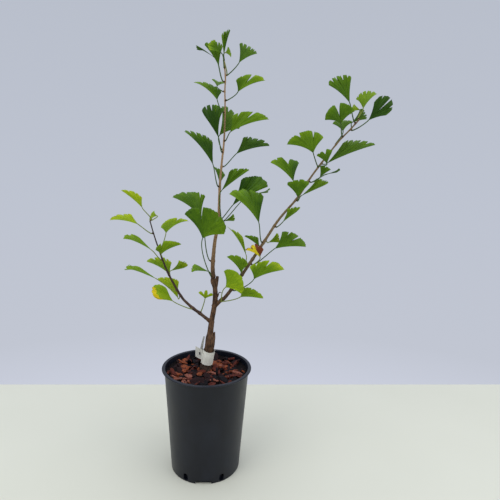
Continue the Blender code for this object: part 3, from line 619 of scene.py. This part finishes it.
def leaf_finish(name, colour, roughness):
    """A soft leaf: fanned veins in streaks along the blade, with cloudy shading."""
    made = Finish(name, roughness, specular=0.12)
    streaks = made.grain(1.0, 3.0, 0.6, LEAF_STREAKS, chart=True)
    clouds = made.grain(90.0)
    shade = made.ramp(streaks, (0.3, scaled(colour, 0.8)), (0.5, colour), (0.72, scaled(colour, 1.35)))
    blotch = made.ramp(clouds, (0.35, scaled(colour, 0.82)), (0.7, scaled(colour, 1.2)))
    made.use("Base Color", made.mix(0.4, shade, blotch))
    made.bump(made.grain(1.0, 2.0, 0.5, LEAF_VEINS, chart=True), 0.4, 0.3 * MM)
    return made.material


def bark_finish(name, light, dark, stretch, bump, young=None, heights=None):
    """Rough bark, streaked up and down. Young bark takes over between two heights."""
    made = Finish(name, 0.8, specular=0.25)
    streaks = made.grain(700.0, 6.0, 0.65, (1, 1, stretch))
    patches = made.grain(230.0, 3.0, stretch=(1, 1, stretch * 1.6))
    fine = made.ramp(streaks, (0.36, dark), (0.66, light))
    broad = made.ramp(patches, (0.38, scaled(dark, 0.8)), (0.62, scaled(light, 1.15)))
    colour = made.mix(0.55, fine, broad)
    if young:
        height = made.node("ShaderNodeSeparateXYZ", {"Vector": made.place()}).outputs["Z"]
        smooth = made.ramp(streaks, (0.3, scaled(young, 0.6)), (0.6, young), (0.8, scaled(young, 1.25)))
        colour = made.mix(made.span(height, *heights), colour, smooth)
    made.use("Base Color", colour)
    made.bump(streaks, bump, 0.4 * MM)
    return made.material


def chip_finish(name, light, dark):
    """A flake of bark mulch with its fibres and pits."""
    made = Finish(name, 0.78, specular=0.15)
    fibres = made.grain(420.0, 5.0, 0.7, (1, 2.6, 1.4))
    made.use("Base Color", made.ramp(fibres, (0.34, dark), (0.55, light), (0.78, scaled(light, 1.5))))
    made.bump(fibres, 0.6, 0.5 * MM)
    return made.material


def plastic_finish():
    """Satin black moulded plastic with a fine grain and a little dust."""
    made = Finish("satin_black_plastic", 0.4, specular=0.3)
    dust = made.grain(26.0, 5.0, 0.62, (1, 1, 0.6))
    made.use("Base Color", made.ramp(dust, *PLASTIC_TONES))
    made.use("Roughness", made.span(dust, 0.35, 0.75, 0.34, 0.5))
    made.bump(made.grain(900.0, 3.0), 0.08, 0.2 * MM)
    return made.material


def label_finish(name, tone):
    """Matt white film, a little creased."""
    made = Finish(name, 0.5)
    creases = made.grain(120.0, 3.0)
    shade, light = scaled((1, 0.98, 0.82), tone * 0.88), scaled((1, 0.985, 0.85), tone)
    made.use("Base Color", made.ramp(creases, (0.35, shade), (0.65, light)))
    made.bump(creases, 0.12, 0.3 * MM)
    return made.material


def soil_finish():
    """Dark damp compost."""
    made = Finish("dark_compost", 0.9, specular=0.1)
    crumbs = made.grain(380.0, 6.0, 0.7)
    made.use("Base Color", made.ramp(crumbs, *SOIL_TONES))
    made.bump(crumbs, 0.8, 1 * MM)
    return made.material


def turned(name, profile, steps):
    """Turn a profile of (radius, height) points round the upright axis."""
    angles = [i * math.tau / steps for i in range(steps)]
    rows = []
    for radius, height in profile:
        if radius == 0:
            rows.append([Vector((0, 0, height))])
        else:
            rows.append([Vector((radius * math.cos(a), radius * math.sin(a), height)) for a in angles])
    shape = bmesh.new()
    made_rows = [[shape.verts.new(place) for place in row] for row in rows]
    for upper, lower in zip(made_rows, made_rows[1:]):
        for i in range(steps):
            after = (i + 1) % steps
            if len(upper) == 1:
                shape.faces.new((upper[0], lower[i], lower[after]))
            elif len(lower) == 1:
                shape.faces.new((upper[i], lower[0], upper[after]))
            else:
                shape.faces.new((upper[i], lower[i], lower[after], upper[after]))
    bmesh.ops.recalc_face_normals(shape, faces=shape.faces)
    mesh = bpy.data.meshes.new(name)
    shape.to_mesh(mesh)
    shape.free()
    return linked(name, mesh)


def apply_modifiers(piece):
    """Give an object the mesh that its modifiers make."""
    graph = bpy.context.evaluated_depsgraph_get()
    mesh = bpy.data.meshes.new_from_object(piece.evaluated_get(graph))
    piece.modifiers.clear()
    piece.data = mesh


def arc(centre, radius, start, end, count):
    """Points (radius, height) along a round corner of a turned profile."""
    out = []
    for i in range(count + 1):
        angle = math.radians(start + (end - start) * i / count)
        out.append((centre[0] + radius * math.cos(angle), centre[1] + radius * math.sin(angle)))
    return out


def pot_profile():
    """The pot's section, from its floor up the inner wall, over the rolled flange and down to its foot."""
    edge = FLANGE_THICKNESS / 2 - FLANGE_FLAT
    under = POT_HEIGHT - FLANGE_THICKNESS
    inner_top = WALL_TOP_RADIUS - WALL
    slope = (WALL_TOP_RADIUS - WALL_FOOT_RADIUS) / POT_HEIGHT
    inner_foot = WALL_FOOT_RADIUS - WALL + slope * FLOOR
    profile = [(0, FLOOR), (inner_foot, FLOOR), (inner_foot + slope * INNER_CORNER, FLOOR + INNER_CORNER)]
    profile += arc((inner_top + RIM_ROUND, POT_HEIGHT - RIM_ROUND), RIM_ROUND, 180, 90, 5)
    profile += arc((FLANGE_RADIUS - edge, POT_HEIGHT - edge), edge, 90, 0, 5)
    profile += arc((FLANGE_RADIUS - edge, under + edge), edge, 0, -90, 5)
    profile += arc((WALL_TOP_RADIUS + UNDER_START, under - UNDER_ROUND), UNDER_ROUND, 90, 180, 4)
    line = under - STACKING_LINE
    wall_at_line = WALL_FOOT_RADIUS + slope * line
    profile += [(wall_at_line + STACKING_STEP, line + 0.5 * MM), (wall_at_line, line - 0.6 * MM)]
    wall_at_corner = WALL_FOOT_RADIUS + slope * FOOT_CORNER
    profile += arc((wall_at_corner - FOOT_CORNER, FOOT_CORNER), FOOT_CORNER, 0, -90, 8)
    return profile + [(0, 0)]


def add_cutter(cutters, turn, height, size, corner):
    """A block with round corners that stands through the pot's wall at its foot."""
    shape = bmesh.new()
    bmesh.ops.create_cube(shape, size=1)
    bmesh.ops.scale(shape, vec=(CUTTER_DEPTH, *size), verts=shape.verts)
    across = [e for e in shape.edges if abs(e.verts[0].co.x - e.verts[1].co.x) > MM]
    bmesh.ops.bevel(shape, geom=across, offset=corner, segments=5, profile=0.5, affect="EDGES",
                    clamp_overlap=True)
    mesh = bpy.data.meshes.new("cutter")
    shape.to_mesh(mesh)
    shape.free()
    cutter = bpy.data.objects.new("cutter", mesh)
    cutters.objects.link(cutter)
    cutter.location = (WALL_FOOT_RADIUS * math.cos(turn), WALL_FOOT_RADIUS * math.sin(turn), height)
    cutter.rotation_euler = (0, 0, turn)


def cut_foot(pot):
    """Cut the drain slots and the low arches out of the pot's foot."""
    cutters = bpy.data.collections.new("cutters")
    bpy.context.scene.collection.children.link(cutters)
    slot, arch = (SLOT_WIDTH, SLOT_HEIGHT), (ARCH_WIDTH, 2 * ARCH_HEIGHT)
    for count, start, height, size, corner in (
            (SLOTS, SLOT_START, SLOT_FOOT + SLOT_HEIGHT / 2, slot, SLOT_CORNER),
            (ARCHES, ARCH_START, 0, arch, ARCH_CORNER)):
        for i in range(count):
            add_cutter(cutters, start + i * math.tau / count, height, size, corner)
    holes = pot.modifiers.new("holes", "BOOLEAN")
    holes.operation = "DIFFERENCE"
    holes.operand_type = "COLLECTION"
    holes.collection = cutters
    holes.solver = "EXACT"
    apply_modifiers(pot)
    for cutter in list(cutters.objects):
        bpy.data.objects.remove(cutter)
    bpy.data.collections.remove(cutters)


def make_pot():
    """The pot: rolled flange, thin tapering wall, stacking line, drain slots and low arches."""
    pot = turned("pot_shell", pot_profile(), POT_STEPS)
    cut_foot(pot)
    pot.data.materials.clear()
    pot.data.materials.append(plastic_finish())
    pot.data.shade_smooth()
    pot.data.set_sharp_from_angle(angle=POT_SHARP_EDGE)
    ride(pot, "black_plastic", "pot")


def make_ground():
    """Dark lumpy compost that rises towards the pot's wall."""
    points = [Vector((0, 0, COMPOST_TOP))]
    for i in range(1, GROUND_ROWS + 1):
        for k in range(GROUND_STEPS):
            place = spoke(k * math.tau / GROUND_STEPS) * (COMPOST_RADIUS * i / GROUND_ROWS)
            lumps = sum(noise.noise(place * fine) * high for fine, high in GROUND_LUMPS)
            points.append(place + Vector((0, 0, COMPOST_TOP + HEAP * (i / GROUND_ROWS) ** 2 + lumps)))
    faces = [(0, 1 + k, 1 + (k + 1) % GROUND_STEPS) for k in range(GROUND_STEPS)]
    for i in range(GROUND_ROWS - 1):
        near = 1 + i * GROUND_STEPS
        far = near + GROUND_STEPS
        for k in range(GROUND_STEPS):
            after = (k + 1) % GROUND_STEPS
            faces.append((near + k, far + k, far + after, near + after))
    ground = Shape()
    ground.add(points, faces, 0)
    ride(ground.build("compost_ground", [soil_finish()]), "bark_chips", "compost")


def chip(dice, length, width, thick):
    """A flake with a craggy outline: points and faces about its own middle."""
    outline = []
    for k in range(CHIP_CORNERS):
        angle = (k + dice.uniform(-CHIP_CRAGS, CHIP_CRAGS)) * math.tau / CHIP_CORNERS
        reach = dice.uniform(*CHIP_REACH)
        x, y = math.cos(angle) * length / 2 * reach, math.sin(angle) * width / 2 * reach
        outline.append(Vector((x, y, 0)))
    rings = []
    bend = dice.uniform(-CHIP_BEND, CHIP_BEND) * length
    for share, height in CHIP_SECTION:
        ring = []
        for place in outline:
            lift = thick / 2 * (height + dice.uniform(-CHIP_CRAGS, CHIP_CRAGS))
            lift += bend * (place.x * 2 / length) ** 2
            ring.append(Vector((place.x * share, place.y * share, lift)))
        rings.append(ring)
    return skin(rings)


def strew_chips():
    """Flakes of bark of five browns, strewn on the compost in a loose layer."""
    dice = random.Random(CHIP_SEED)
    flakes = Shape()
    trunk_foot = point(TRUNK_PATH[0])
    weights = [brown[-1] for brown in CHIP_BROWNS]
    shortest, longest = CHIP_LENGTH
    for i in range(CHIPS):
        length = shortest + (longest - shortest) * dice.random() ** CHIP_BIAS
        width = length * dice.uniform(*CHIP_WIDTH)
        thick = dice.uniform(*CHIP_THICKNESS) * MM
        reach = (COMPOST_RADIUS - length * 0.42) * math.sqrt(dice.random())
        height = COMPOST_TOP + HEAP * (reach / COMPOST_RADIUS) ** 2 + thick * 0.4
        height += i / CHIPS * CHIP_LAYER + dice.uniform(*CHIP_LIFT) * MM
        angle = i * GOLDEN_ANGLE
        place = Vector((reach * math.cos(angle), reach * math.sin(angle), height))
        if (place.xy - trunk_foot.xy).length < TRUNK_CLEAR + width * 0.4:
            continue
        turn = Matrix.Rotation(dice.uniform(0, math.tau), 3, "Z")
        for tilt, axis in zip(CHIP_TILTS, "XY"):
            turn = turn @ Matrix.Rotation(dice.gauss(0, tilt), 3, axis)
        points, faces = chip(dice, length, width, thick)
        paint = dice.choices(range(len(weights)), weights)[0]
        flakes.add([place + turn @ p for p in points], faces, paint)
    browns = [chip_finish("bark_chip_" + name, light, dark) for name, light, dark, _ in CHIP_BROWNS]
    made = flakes.build("bark_chips", browns)
    made.data.set_sharp_from_angle(angle=SHARP_EDGE)
    ride(made, "bark_chips")


def plain_tube(shape, places, radii, sides):
    """Add a round tube through places in metres, with a radius at each."""
    route = smooth_route(places, TUBE_STEP)
    sizes = smooth_sizes(radii, places, TUBE_STEP)
    points, faces = skin(rings_along(route, lambda i, angle: sizes[i], sides))
    shape.add(points, faces, 0)


def limb_places(name):
    """Where a shoot runs, from inside its collar on the trunk to its tip."""
    places = [point(place) for place in LIMBS[name].places]
    if name in FORKS:
        fork = point(FORKS[name])
        heading = (places[0] - fork).normalized()
        start = COLLAR_LENGTH + COLLAR_GAP
        places = [fork + heading * start, fork + heading * (start + STRAIGHT_START)] + places
    return places


def limb_radius(limb, share):
    """A shoot's radius at a share of the way from its foot to its tip."""
    return (limb.tip_radius + (limb.foot_radius - limb.tip_radius) * (1 - share) ** (1 / limb.taper)) * MM


def make_trunk():
    """Rootstock, graft and scion with bark relief, both collars, the cut stub, snag and dead twig."""
    shape = Shape()
    for path, radii, sides in ((TRUNK_PATH, TRUNK_RADII, 40), (STUB, STUB_RADII, 20),
                               (SNAG, SNAG_RADII, 18), (DEAD_TWIG, DEAD_TWIG_RADII, 12)):
        plain_tube(shape, [point(p) for p in path], [r * MM for r in radii], sides)
    for name, fork in FORKS.items():
        foot = point(fork)
        heading = (point(LIMBS[name].places[0]) - foot).normalized()
        collar = [foot - heading * 3 * MM]
        collar += [foot + heading * COLLAR_LENGTH * 0.5, foot + heading * COLLAR_LENGTH]
        plain_tube(shape, collar, [LIMBS[name].foot_radius * MM * swell for swell in COLLAR_SWELL], 20)
    trunk = shape.build("trunk_bark", [])
    remesh = trunk.modifiers.new("one_skin", "REMESH")
    remesh.mode = "VOXEL"
    remesh.voxel_size = BARK_VOXEL
    trunk.modifiers.new("soften", "SMOOTH").iterations = BARK_SMOOTHING
    apply_modifiers(trunk)
    roughen(trunk.data, point(TRUNK_PATH[0]).z, point(TRUNK_PATH[-1]).z)
    trunk.data.materials.clear()
    trunk.data.materials.append(bark_finish("old_bark", *OLD_BARK, 0.3, 0.8))
    trunk.data.materials.append(bark_finish("root_bark", *ROOT_BARK, 0.6, 0.8))
    for face in trunk.data.polygons:
        face.material_index = int(face.center.z < ROOT_TOP)
    trunk.data.shade_smooth()
    ride(trunk, "dark_bark", "trunk")


def roughen(mesh, foot, top):
    """Move a trunk's skin in and out: long fissures, lumps and pits, weaker on the young wood."""
    normals = [v.normal.copy() for v in mesh.vertices]
    for vertex, normal in zip(mesh.vertices, normals):
        place = vertex.co.copy()
        long_place = Vector((place.x, place.y, place.z * BARK_STRETCH))
        fissures = abs(noise.noise(long_place * FISSURES[0])) * 0.9 - 0.25
        lumps = noise.noise(place * LUMPS[0] + Vector((7, 0, 0)))
        pits = noise.noise(place * PITS[0])
        age = max(YOUNG_RELIEF, 1 - (place.z - foot) / (top - foot) * 0.9)
        vertex.co += normal * MM * age * (FISSURES[1] * fissures + LUMPS[1] * lumps + PITS[1] * pits)


def limb_routes():
    """The points of each shoot, with the radius at each."""
    routes = {}
    for name, limb in LIMBS.items():
        route = smooth_route(limb_places(name), LIMB_STEP)
        last = len(route) - 1
        routes[name] = (route, [limb_radius(limb, i / last) for i in range(len(route))])
    return routes


def limb_at(route, radii, height):
    """The place, heading and radius of a shoot at a height, or None past its tip."""
    for start, end, first, second in zip(route, route[1:], radii, radii[1:]):
        if start.z <= height < end.z:
            share = (height - start.z) / (end.z - start.z)
            return start.lerp(end, share), (end - start).normalized(), first + (second - first) * share
    return None


def make_limbs(routes):
    """Each shoot: a slim tapering stem that swells at its buds, rough low down and smooth above."""
    for name, (route, radii) in routes.items():
        heights = [height * MM for height, *leaves in SPRAYS[name]]

        def radius_at(i, angle, route=route, radii=radii, heights=heights):
            place = route[i]
            swell = sum(math.exp(-((place.z - h) / BUD_REACH) ** 2) for h in heights)
            around = spoke(angle) * radii[i]
            long_place = Vector((place.x, place.y, place.z * TWIG_STRETCH)) + around
            rough = TWIG_FISSURES[1] * noise.noise(long_place * TWIG_FISSURES[0])
            rough += TWIG_LUMPS[1] * noise.noise((place + around) * TWIG_LUMPS[0])
            return radii[i] * (1 + BUD_SWELL * min(1, swell) + rough)

        def stump_radius(i, angle, radius=radii[0]):
            return radius * 0.98

        start = route[0] - (route[1] - route[0]).normalized() * LIMB_STUMP
        shape = Shape()
        shape.add(*skin(rings_along(route, radius_at, LIMB_SIDES)), 0)
        shape.add(*skin(rings_along([start, route[0]], stump_radius, LIMB_SIDES)), 0)
        light, dark, young, heights = LIMB_TONES[name]
        bark = bark_finish(name + "_bark", light, dark, 0.35, 0.4, young, heights)
        limb = shape.build(name + "_bark", [bark])
        ride(limb, "dark_bark" if name == "left_limb" else "shoot_bark", name)


def far_edge(kind, t, phase):
    """How far the blade reaches at a place across the fan, as a share of its length."""
    crown, cuts = KINDS[kind]
    reach = EDGE_REACH + (EDGE_ROUND - crown) * t * t - EDGE_DROOP * t ** 6
    for place, depth, half_width in cuts:
        reach -= depth * max(0.0, 1 - abs(t - place) / half_width) ** CUT_TAPER
    waves = EDGE_WAVES[0] * noise.noise(Vector((t * EDGE_WAVES[1], phase, 0)))
    teeth = EDGE_TEETH[0] * (0.3 - abs(noise.noise(Vector((t * EDGE_TEETH[1], phase, 3)))))
    return reach + waves + teeth


def blade_frame(leaf):
    """The blade's middle line, its side direction and the direction it faces."""
    along = Vector(leaf.blade).normalized()
    facing = (TOWARDS_VIEWER - along * TOWARDS_VIEWER.dot(along)).normalized()
    facing = Matrix.Rotation(math.radians(leaf.roll), 3, along) @ facing
    return along, along.cross(facing), facing


def blade_lift(leaf, length, across, bend, t, ring, phase):
    """How far a point of the blade lies in front of its flat fan: fold, curl, waves, pleats and lip."""
    trough = TROUGH * length
    lift = leaf.fold * (math.hypot(across, trough) - trough)
    if leaf.curl:
        lift -= length * (1 - math.cos(bend)) / leaf.curl
    wave, count = UNDULATION
    lift += wave * length * ring ** 2 * math.sin(count * t + length / MM)
    lift += wave * length * ring ** 2 * noise.noise(Vector((t * 2.6, phase, ring * 1.5)))
    lift += PLEATS[0] * length * ring * math.sin(PLEATS[1] * t + phase)
    lift -= LIP * length * max(0.0, ring - LIP_START) ** 2 * (1 + math.sin(3.1 * t + phase))
    return lift


def blade_point(leaf, axes, foot, t, ring, phase):
    """A point of the curved blade, at a place across the fan and a share of the way out."""
    along, aside, facing = axes
    length = Vector(leaf.blade).length * MM
    angle = t * math.radians(leaf.spread) / 2 * (STRAIGHT_SHARE + (1 - STRAIGHT_SHARE) * ring)
    share = far_edge(leaf.kind, t, phase) * math.exp(leaf.lean * t) * ring
    bend = leaf.curl * share
    out = length * share * math.cos(angle)
    if leaf.curl:
        out = length * math.cos(angle) * math.sin(bend) / leaf.curl
    across = length * share * math.sin(angle)
    lift = blade_lift(leaf, length, across, bend, t, ring, phase)
    return foot + along * out + aside * across + facing * lift


def blade_paint(leaf, t, ring, phase):
    """The material number of a face, by the leaf's tint and where the face lies on the blade."""
    tint = TINTS[leaf.tint]
    ragged = noise.noise(Vector((t * MOTTLE[1], ring * MOTTLE[2], phase)))
    # Painted light: tint.across makes one side of the blade lighter than the other, and tint.rim paints a
    # highlight along its far edge
    margin = max(0.0, (ring - 0.5) / 0.5) ** 2
    step = tint.step + tint.across * t + tint.rim * margin + MOTTLE[0] * ragged
    step += STREAKS[0] * noise.noise(Vector((t * STREAKS[1], ring * STREAKS[2], phase)))
    if leaf.tint == "edged" and t < 0.1 + 0.3 * ragged and ring > 0.62 + 0.2 * (t + 1):
        step = BROWN_STEP - 1
    if leaf.tint == "dying" and (t > -0.2 + 0.35 * ragged or ring > 0.93 + 0.3 * ragged):
        step = BROWN_STEP
    if leaf.tint not in ("edged", "dying"):
        step = min(step, GREEN_STEPS * 3 + 1.4)
    return max(0, min(BROWN_STEP, round(step)))


def blade_faces(leaf, places, phase):
    """Faces of a blade's two sides and of the rim between them, with a paint for each."""
    width = len(places)
    back = 1 + RINGS * width
    faces, paints = [], []
    for k in range(width - 1):
        faces += [(0, 1 + k + 1, 1 + k), (back, back + 1 + k, back + 1 + k + 1)]
        paints += [blade_paint(leaf, places[k], 0.1, phase)] * 2
    for i in range(RINGS - 1):
        ring = (i + 1.5) / RINGS
        for k in range(width - 1):
            a, b = 1 + i * width + k, 1 + (i + 1) * width + k
            faces += [(a, a + 1, b + 1, b), (back + a, back + b, back + b + 1, back + a + 1)]
            paints += [blade_paint(leaf, places[k], ring, phase)] * 2
    rim = [0] + [1 + i * width for i in range(RINGS)]
    rim += [1 + (RINGS - 1) * width + k for k in range(1, width)]
    rim += [1 + i * width + width - 1 for i in range(RINGS - 2, -1, -1)]
    faces += [(a, b, back + b, back + a) for a, b in zip(rim, rim[1:] + rim[:1])]
    paints += [blade_paint(leaf, 0.0, 0.8, phase)] * len(rim)
    return faces, paints


def add_blade(shape, leaf, foot, phase):
    """A fan-shaped blade of an even thickness, closed round its edge."""
    axes = blade_frame(leaf)
    half = axes[2] * BLADE_THICKNESS / 2
    places = [-1 + 2 * i / SPOKES for i in range(SPOKES + 1)]
    rows = []
    for i in range(1, RINGS + 1):
        ring = (i / RINGS) ** RING_EASE
        rows.append([blade_point(leaf, axes, foot, t, ring, phase) for t in places])
    points, charts = [], []
    for side in (half, -half):
        points.append(foot + side)
        charts.append((0.5, 0.0))
        for i, row in enumerate(rows, 1):
            points += [place + side for place in row]
            charts += [((t + 1) / 2, i / RINGS) for t in places]
    faces, paints = blade_faces(leaf, places, phase)
    shape.add(points, faces, paints, charts)


def petiole_route(start, out, foot, along):
    """The bent line of a leaf's stalk, from the spur into the blade."""
    length = (foot - start).length
    heading = (out + (foot - start).normalized() * 2).normalized()
    first = start + heading * length * PETIOLE_EASE
    second = foot - along * length * PETIOLE_EASE
    route = []
    for i in range(PETIOLE_STEPS + 1):
        t = i / PETIOLE_STEPS
        middle = first * 3 * t * (1 - t) ** 2 + second * 3 * t * t * (1 - t)
        route.append(start * (1 - t) ** 3 + middle + foot * t ** 3)
    return route + [foot + along * 2 * MM, foot + along * 4 * MM, foot + along * 7 * MM]


def add_petiole(shape, route, paint):
    """A slim stalk that thins as it runs into the blade."""
    last = len(route) - 1
    first, thin = PETIOLE_RADII

    def radius_at(i, angle):
        radius = first + (thin - first) * min(1, i / last * 1.6)
        return radius * PETIOLE_END.get(last - i, 1.0)

    points, faces = skin(rings_along(route, radius_at, PETIOLE_SIDES))
    shape.add(points, faces, paint)


def add_spur(shape, foot, out, radius):
    """A short woody spur of stacked bud scales, with a pointed bud."""
    route = [foot + out * height * MM for share, height in SPUR_SECTION]

    def radius_at(i, angle):
        return SPUR_SECTION[i][0] * radius * (1 + 0.07 * math.sin(3 * angle + i))

    points, faces = skin(rings_along(route, radius_at, SPUR_SIDES))
    shape.add(points, faces, 0)


def leaf_colours():
    """The ladder of leaf colours from dark green to yellow, with brown at its end."""
    steps = [tuple(a * (b / a) ** (i / GREEN_STEPS) for a, b in zip(first, second))
             for first, second in zip(GREENS, GREENS[1:]) for i in range(GREEN_STEPS)]
    return steps + [GREENS[-1], BROWN]


def place_spur(spurs, route, radii, height, leaves):
    """Add the spur of a spray. Gives the spray's node, its way out and where its stalks start."""
    found = limb_at(route, radii, height)
    pull = sum((Vector(leaf.stalk) for leaf in leaves), Vector())
    if found:
        node, heading, radius = found
        out = (pull - heading * pull.dot(heading)).normalized()
    else:
        node, heading, radius = route[-1], (route[-1] - route[-2]).normalized(), 0
        out = heading
    spur_radius = min(SPUR_RADIUS, radius * 0.8 + 0.7 * MM)
    add_spur(spurs, node + out * radius, (out + heading * SPUR_RISE).normalized(), spur_radius)
    return node, out, node + out * (radius + STALK_START)


def make_foliage(routes):
    """Leaves, stalks and spurs of each shoot, each kind in a piece of its own."""
    leaf_materials = [leaf_finish("leaf_%02d" % i, tone, 0.42) for i, tone in enumerate(leaf_colours())]
    stalk_materials = [leaf_finish(name, tone, 0.5) for name, tone in STALK_TONES]
    spur_material = bark_finish("spur_bark", *SPUR_BARK, 0.8, 0.5)
    dice = random.Random(PHASE_SEED)
    for limb, sprays in SPRAYS.items():
        name = limb.replace("_limb", "")
        nodes = ["%s_spray_%02d" % (name, i + 1) for i in range(len(sprays))]
        blades, stalks, spurs = Shape(), Shape(), Shape()
        for height, *leaves in sprays:
            node, out, start = place_spur(spurs, *routes[limb], height * MM, leaves)
            for leaf in leaves:
                foot = node + point(leaf.stalk)
                line = petiole_route(start, out, foot, Vector(leaf.blade).normalized())
                add_petiole(stalks, line, int(TINTS[leaf.tint].step > LIME_STEP))
                add_blade(blades, leaf, foot, dice.uniform(0, 90))
        ride(blades.build(name + "_leaves", leaf_materials), "ginkgo_leaf", *nodes)
        ride(stalks.build(name + "_stalks", stalk_materials), "ginkgo_leaf", *nodes)
        ride(spurs.build(name + "_spurs", [spur_material]), "dark_bark", *nodes)


def label_piece(name, rows, finish):
    """A piece of the label: a thin closed sheet over a grid of points, with a sharp rim all round."""
    count, width = len(rows), len(rows[0])
    front, rear = [], []
    for i, row in enumerate(rows):
        for k, place in enumerate(row):
            down = rows[min(i + 1, count - 1)][k] - rows[max(i - 1, 0)][k]
            aside = row[min(k + 1, width - 1)] - row[max(k - 1, 0)]
            normal = down.cross(aside).normalized() * LABEL_THICKNESS / 2
            front.append(place + normal)
            rear.append(place - normal)
    back = count * width
    faces = []
    for i in range(count - 1):
        for k in range(width - 1):
            a = i * width + k
            faces.append((a, a + width, a + width + 1, a + 1))
            faces.append((back + a, back + a + 1, back + a + width + 1, back + a + width))
    rim = list(range(width)) + [i * width + width - 1 for i in range(1, count)]
    rim += [(count - 1) * width + k for k in range(width - 2, -1, -1)]
    rim += [i * width for i in range(count - 2, 0, -1)]
    faces += [(a, b, back + b, back + a) for a, b in zip(rim, rim[1:] + rim[:1])]
    sheet = Shape()
    sheet.add(front + rear, faces, 0)
    made = sheet.build(name, [finish])
    made.data.set_sharp_from_angle(angle=SHARP_EDGE)
    ride(made, "white_plastic", "label")


def make_band():
    """The label's blank white band, which wraps round the trunk's foot and laps over itself."""
    foot, head = point(BAND_FOOT), point(BAND_HEAD)
    tall = (head - foot).length
    turn = (head - foot).normalized().to_track_quat("Z", "Y").to_matrix()
    rows = []
    for i in range(BAND_ROWS + 1):
        row = []
        for k in range(BAND_STEPS + 1):
            angle = BAND_START + k * BAND_TURN / BAND_STEPS
            x, y = math.cos(angle), math.sin(angle)
            dent = BAND_DENT * noise.noise(Vector((x * 1.4, y * 1.4, i / BAND_ROWS)))
            radius = BAND_RADIUS + BAND_LAP * k / BAND_STEPS + dent
            row.append(foot + turn @ Vector((x * radius, y * radius, tall * i / BAND_ROWS)))
        rows.append(row)
    label_piece("label_band", rows, label_finish("blank_white_film", 0.8))


def make_tail():
    """The band's free end: a bowed square with a hole."""
    aside = spoke(TAIL_TURN)
    outward = aside.cross(Vector((0, 0, 1)))
    width, height = TAIL_SIZE
    hole_x, hole_z, hole_width, hole_height = TAIL_HOLE
    rim, inner = [], []
    for k in range(TAIL_STEPS):
        angle = (k + 0.5) * math.tau / TAIL_STEPS
        x, z = math.cos(angle), math.sin(angle)
        edge = 1 / max(abs(x), abs(z))
        corner = aside * x * edge * width / 2 + Vector((0, 0, z * edge * height / 2))
        rim.append(point(TAIL_PLACE) + (corner + outward * TAIL_BOW * x * edge))
        lip = aside * (hole_x + x * hole_width) + Vector((0, 0, hole_z + z * hole_height))
        inner.append(point(TAIL_PLACE) + lip)
    rows = [rim + rim[:1], inner + inner[:1]]
    # painted shade: the tail is the same white film as the band, made darker
    label_piece("label_tail", rows, label_finish("white_film_painted_shade", 0.62))


def make_strap():
    """The clear strap that stands behind the band."""
    aside = spoke(STRAP_TURN)
    outward = aside.cross(Vector((0, 0, 1)))
    width, tall = STRAP_SIZE
    rows = []
    for i in range(STRAP_ROWS + 1):
        share = i / STRAP_ROWS
        rise = share - 0.5
        middle = point(STRAP_PLACE) + Vector((STRAP_LEAN * rise, 0, tall * rise))
        middle += outward * STRAP_BOW * math.sin(math.pi * share)
        half = aside * width / 2 * (1 - 0.55 * share)
        rows.append([middle - half, middle - half * 0.3, middle + half * 0.3, middle + half])
    clear = label_finish("clear_film", 0.45)
    shader = clear.node_tree.nodes["Principled BSDF"]
    shader.inputs["Transmission Weight"].default_value = 0.75
    shader.inputs["Roughness"].default_value = 0.25
    label_piece("label_strap", rows, clear)


def make_camera(scene):
    """The camera, at the picture's viewing angle."""
    level = math.cos(CAMERA_PITCH)
    ahead = Vector((math.sin(CAMERA_YAW) * level, math.cos(CAMERA_YAW) * level, -math.sin(CAMERA_PITCH)))
    right = Vector((math.cos(CAMERA_YAW), -math.sin(CAMERA_YAW), 0))
    up = right.cross(ahead)
    turn, lean = math.cos(CAMERA_ROLL), math.sin(CAMERA_ROLL)
    right, up = right * turn + up * lean, up * turn - right * lean
    lens = bpy.data.cameras.new("camera")
    lens.sensor_width = CAMERA_SENSOR
    lens.lens = CAMERA_LENS
    lens.clip_start = CAMERA_CLIP
    scene.camera = linked("camera", lens)
    axes = Matrix((right, up, -ahead)).transposed().to_4x4()
    scene.camera.matrix_world = Matrix.Translation(CAMERA_PLACE) @ axes


def make_floor():
    """A plain pale floor that ends behind the pot."""
    turn = Matrix.Rotation(STAGE_TURN, 3, "Z")
    near, side = -STAGE_REACH, STAGE_REACH
    corners = ((-side, near, 0), (side, near, 0), (side, 0, 0), (-side, 0, 0))
    shape = Shape()
    shape.add([Vector(STAGE_EDGE) + turn @ Vector(corner) for corner in corners], [(0, 1, 2, 3)], 0)
    paint = Finish("pale_floor", 0.6, specular=0.2)
    paint.use("Base Color", paint.ramp(paint.grain(3.0, 2.0), *STAGE_TONES))
    shape.build("floor", [paint.material])


def make_room(scene):
    """A plain grey-lilac room that is bright overhead."""
    scene.world = bpy.data.worlds.new("room")
    scene.world.use_nodes = True
    room = Graph(scene.world.node_tree)
    way = room.node("ShaderNodeTexCoord").outputs["Generated"]
    height = room.node("ShaderNodeSeparateXYZ", {"Vector": way}).outputs["Z"]
    background = room.tree.nodes["Background"]
    tones = room.ramp(room.span(height, *ROOM_SPAN), *ROOM_TONES)
    gain = room.span(height, *CEILING_SPAN, 1.0, CEILING_GAIN, ease="SMOOTHSTEP")
    room.tree.links.new(tones, background.inputs["Color"])
    room.tree.links.new(gain, background.inputs["Strength"])


def make_stage():
    """Camera, floor, room and soft light."""
    scene = bpy.context.scene
    make_camera(scene)
    make_floor()
    make_room(scene)
    for name, place, size, power, colour in LAMPS:
        data = bpy.data.lights.new(name, "AREA")
        data.size = size
        data.energy = power
        data.color = colour
        lamp = linked(name, data)
        lamp.location = place
        lamp.rotation_euler = (LAMPS_LOOK_AT - Vector(place)).to_track_quat("-Z", "Y").to_euler()
    scene.view_settings.view_transform = "Standard"


make_pot()
make_ground()
strew_chips()
make_trunk()
shoot_routes = limb_routes()
make_limbs(shoot_routes)
make_foliage(shoot_routes)
make_band()
make_tail()
make_strap()
make_stage()
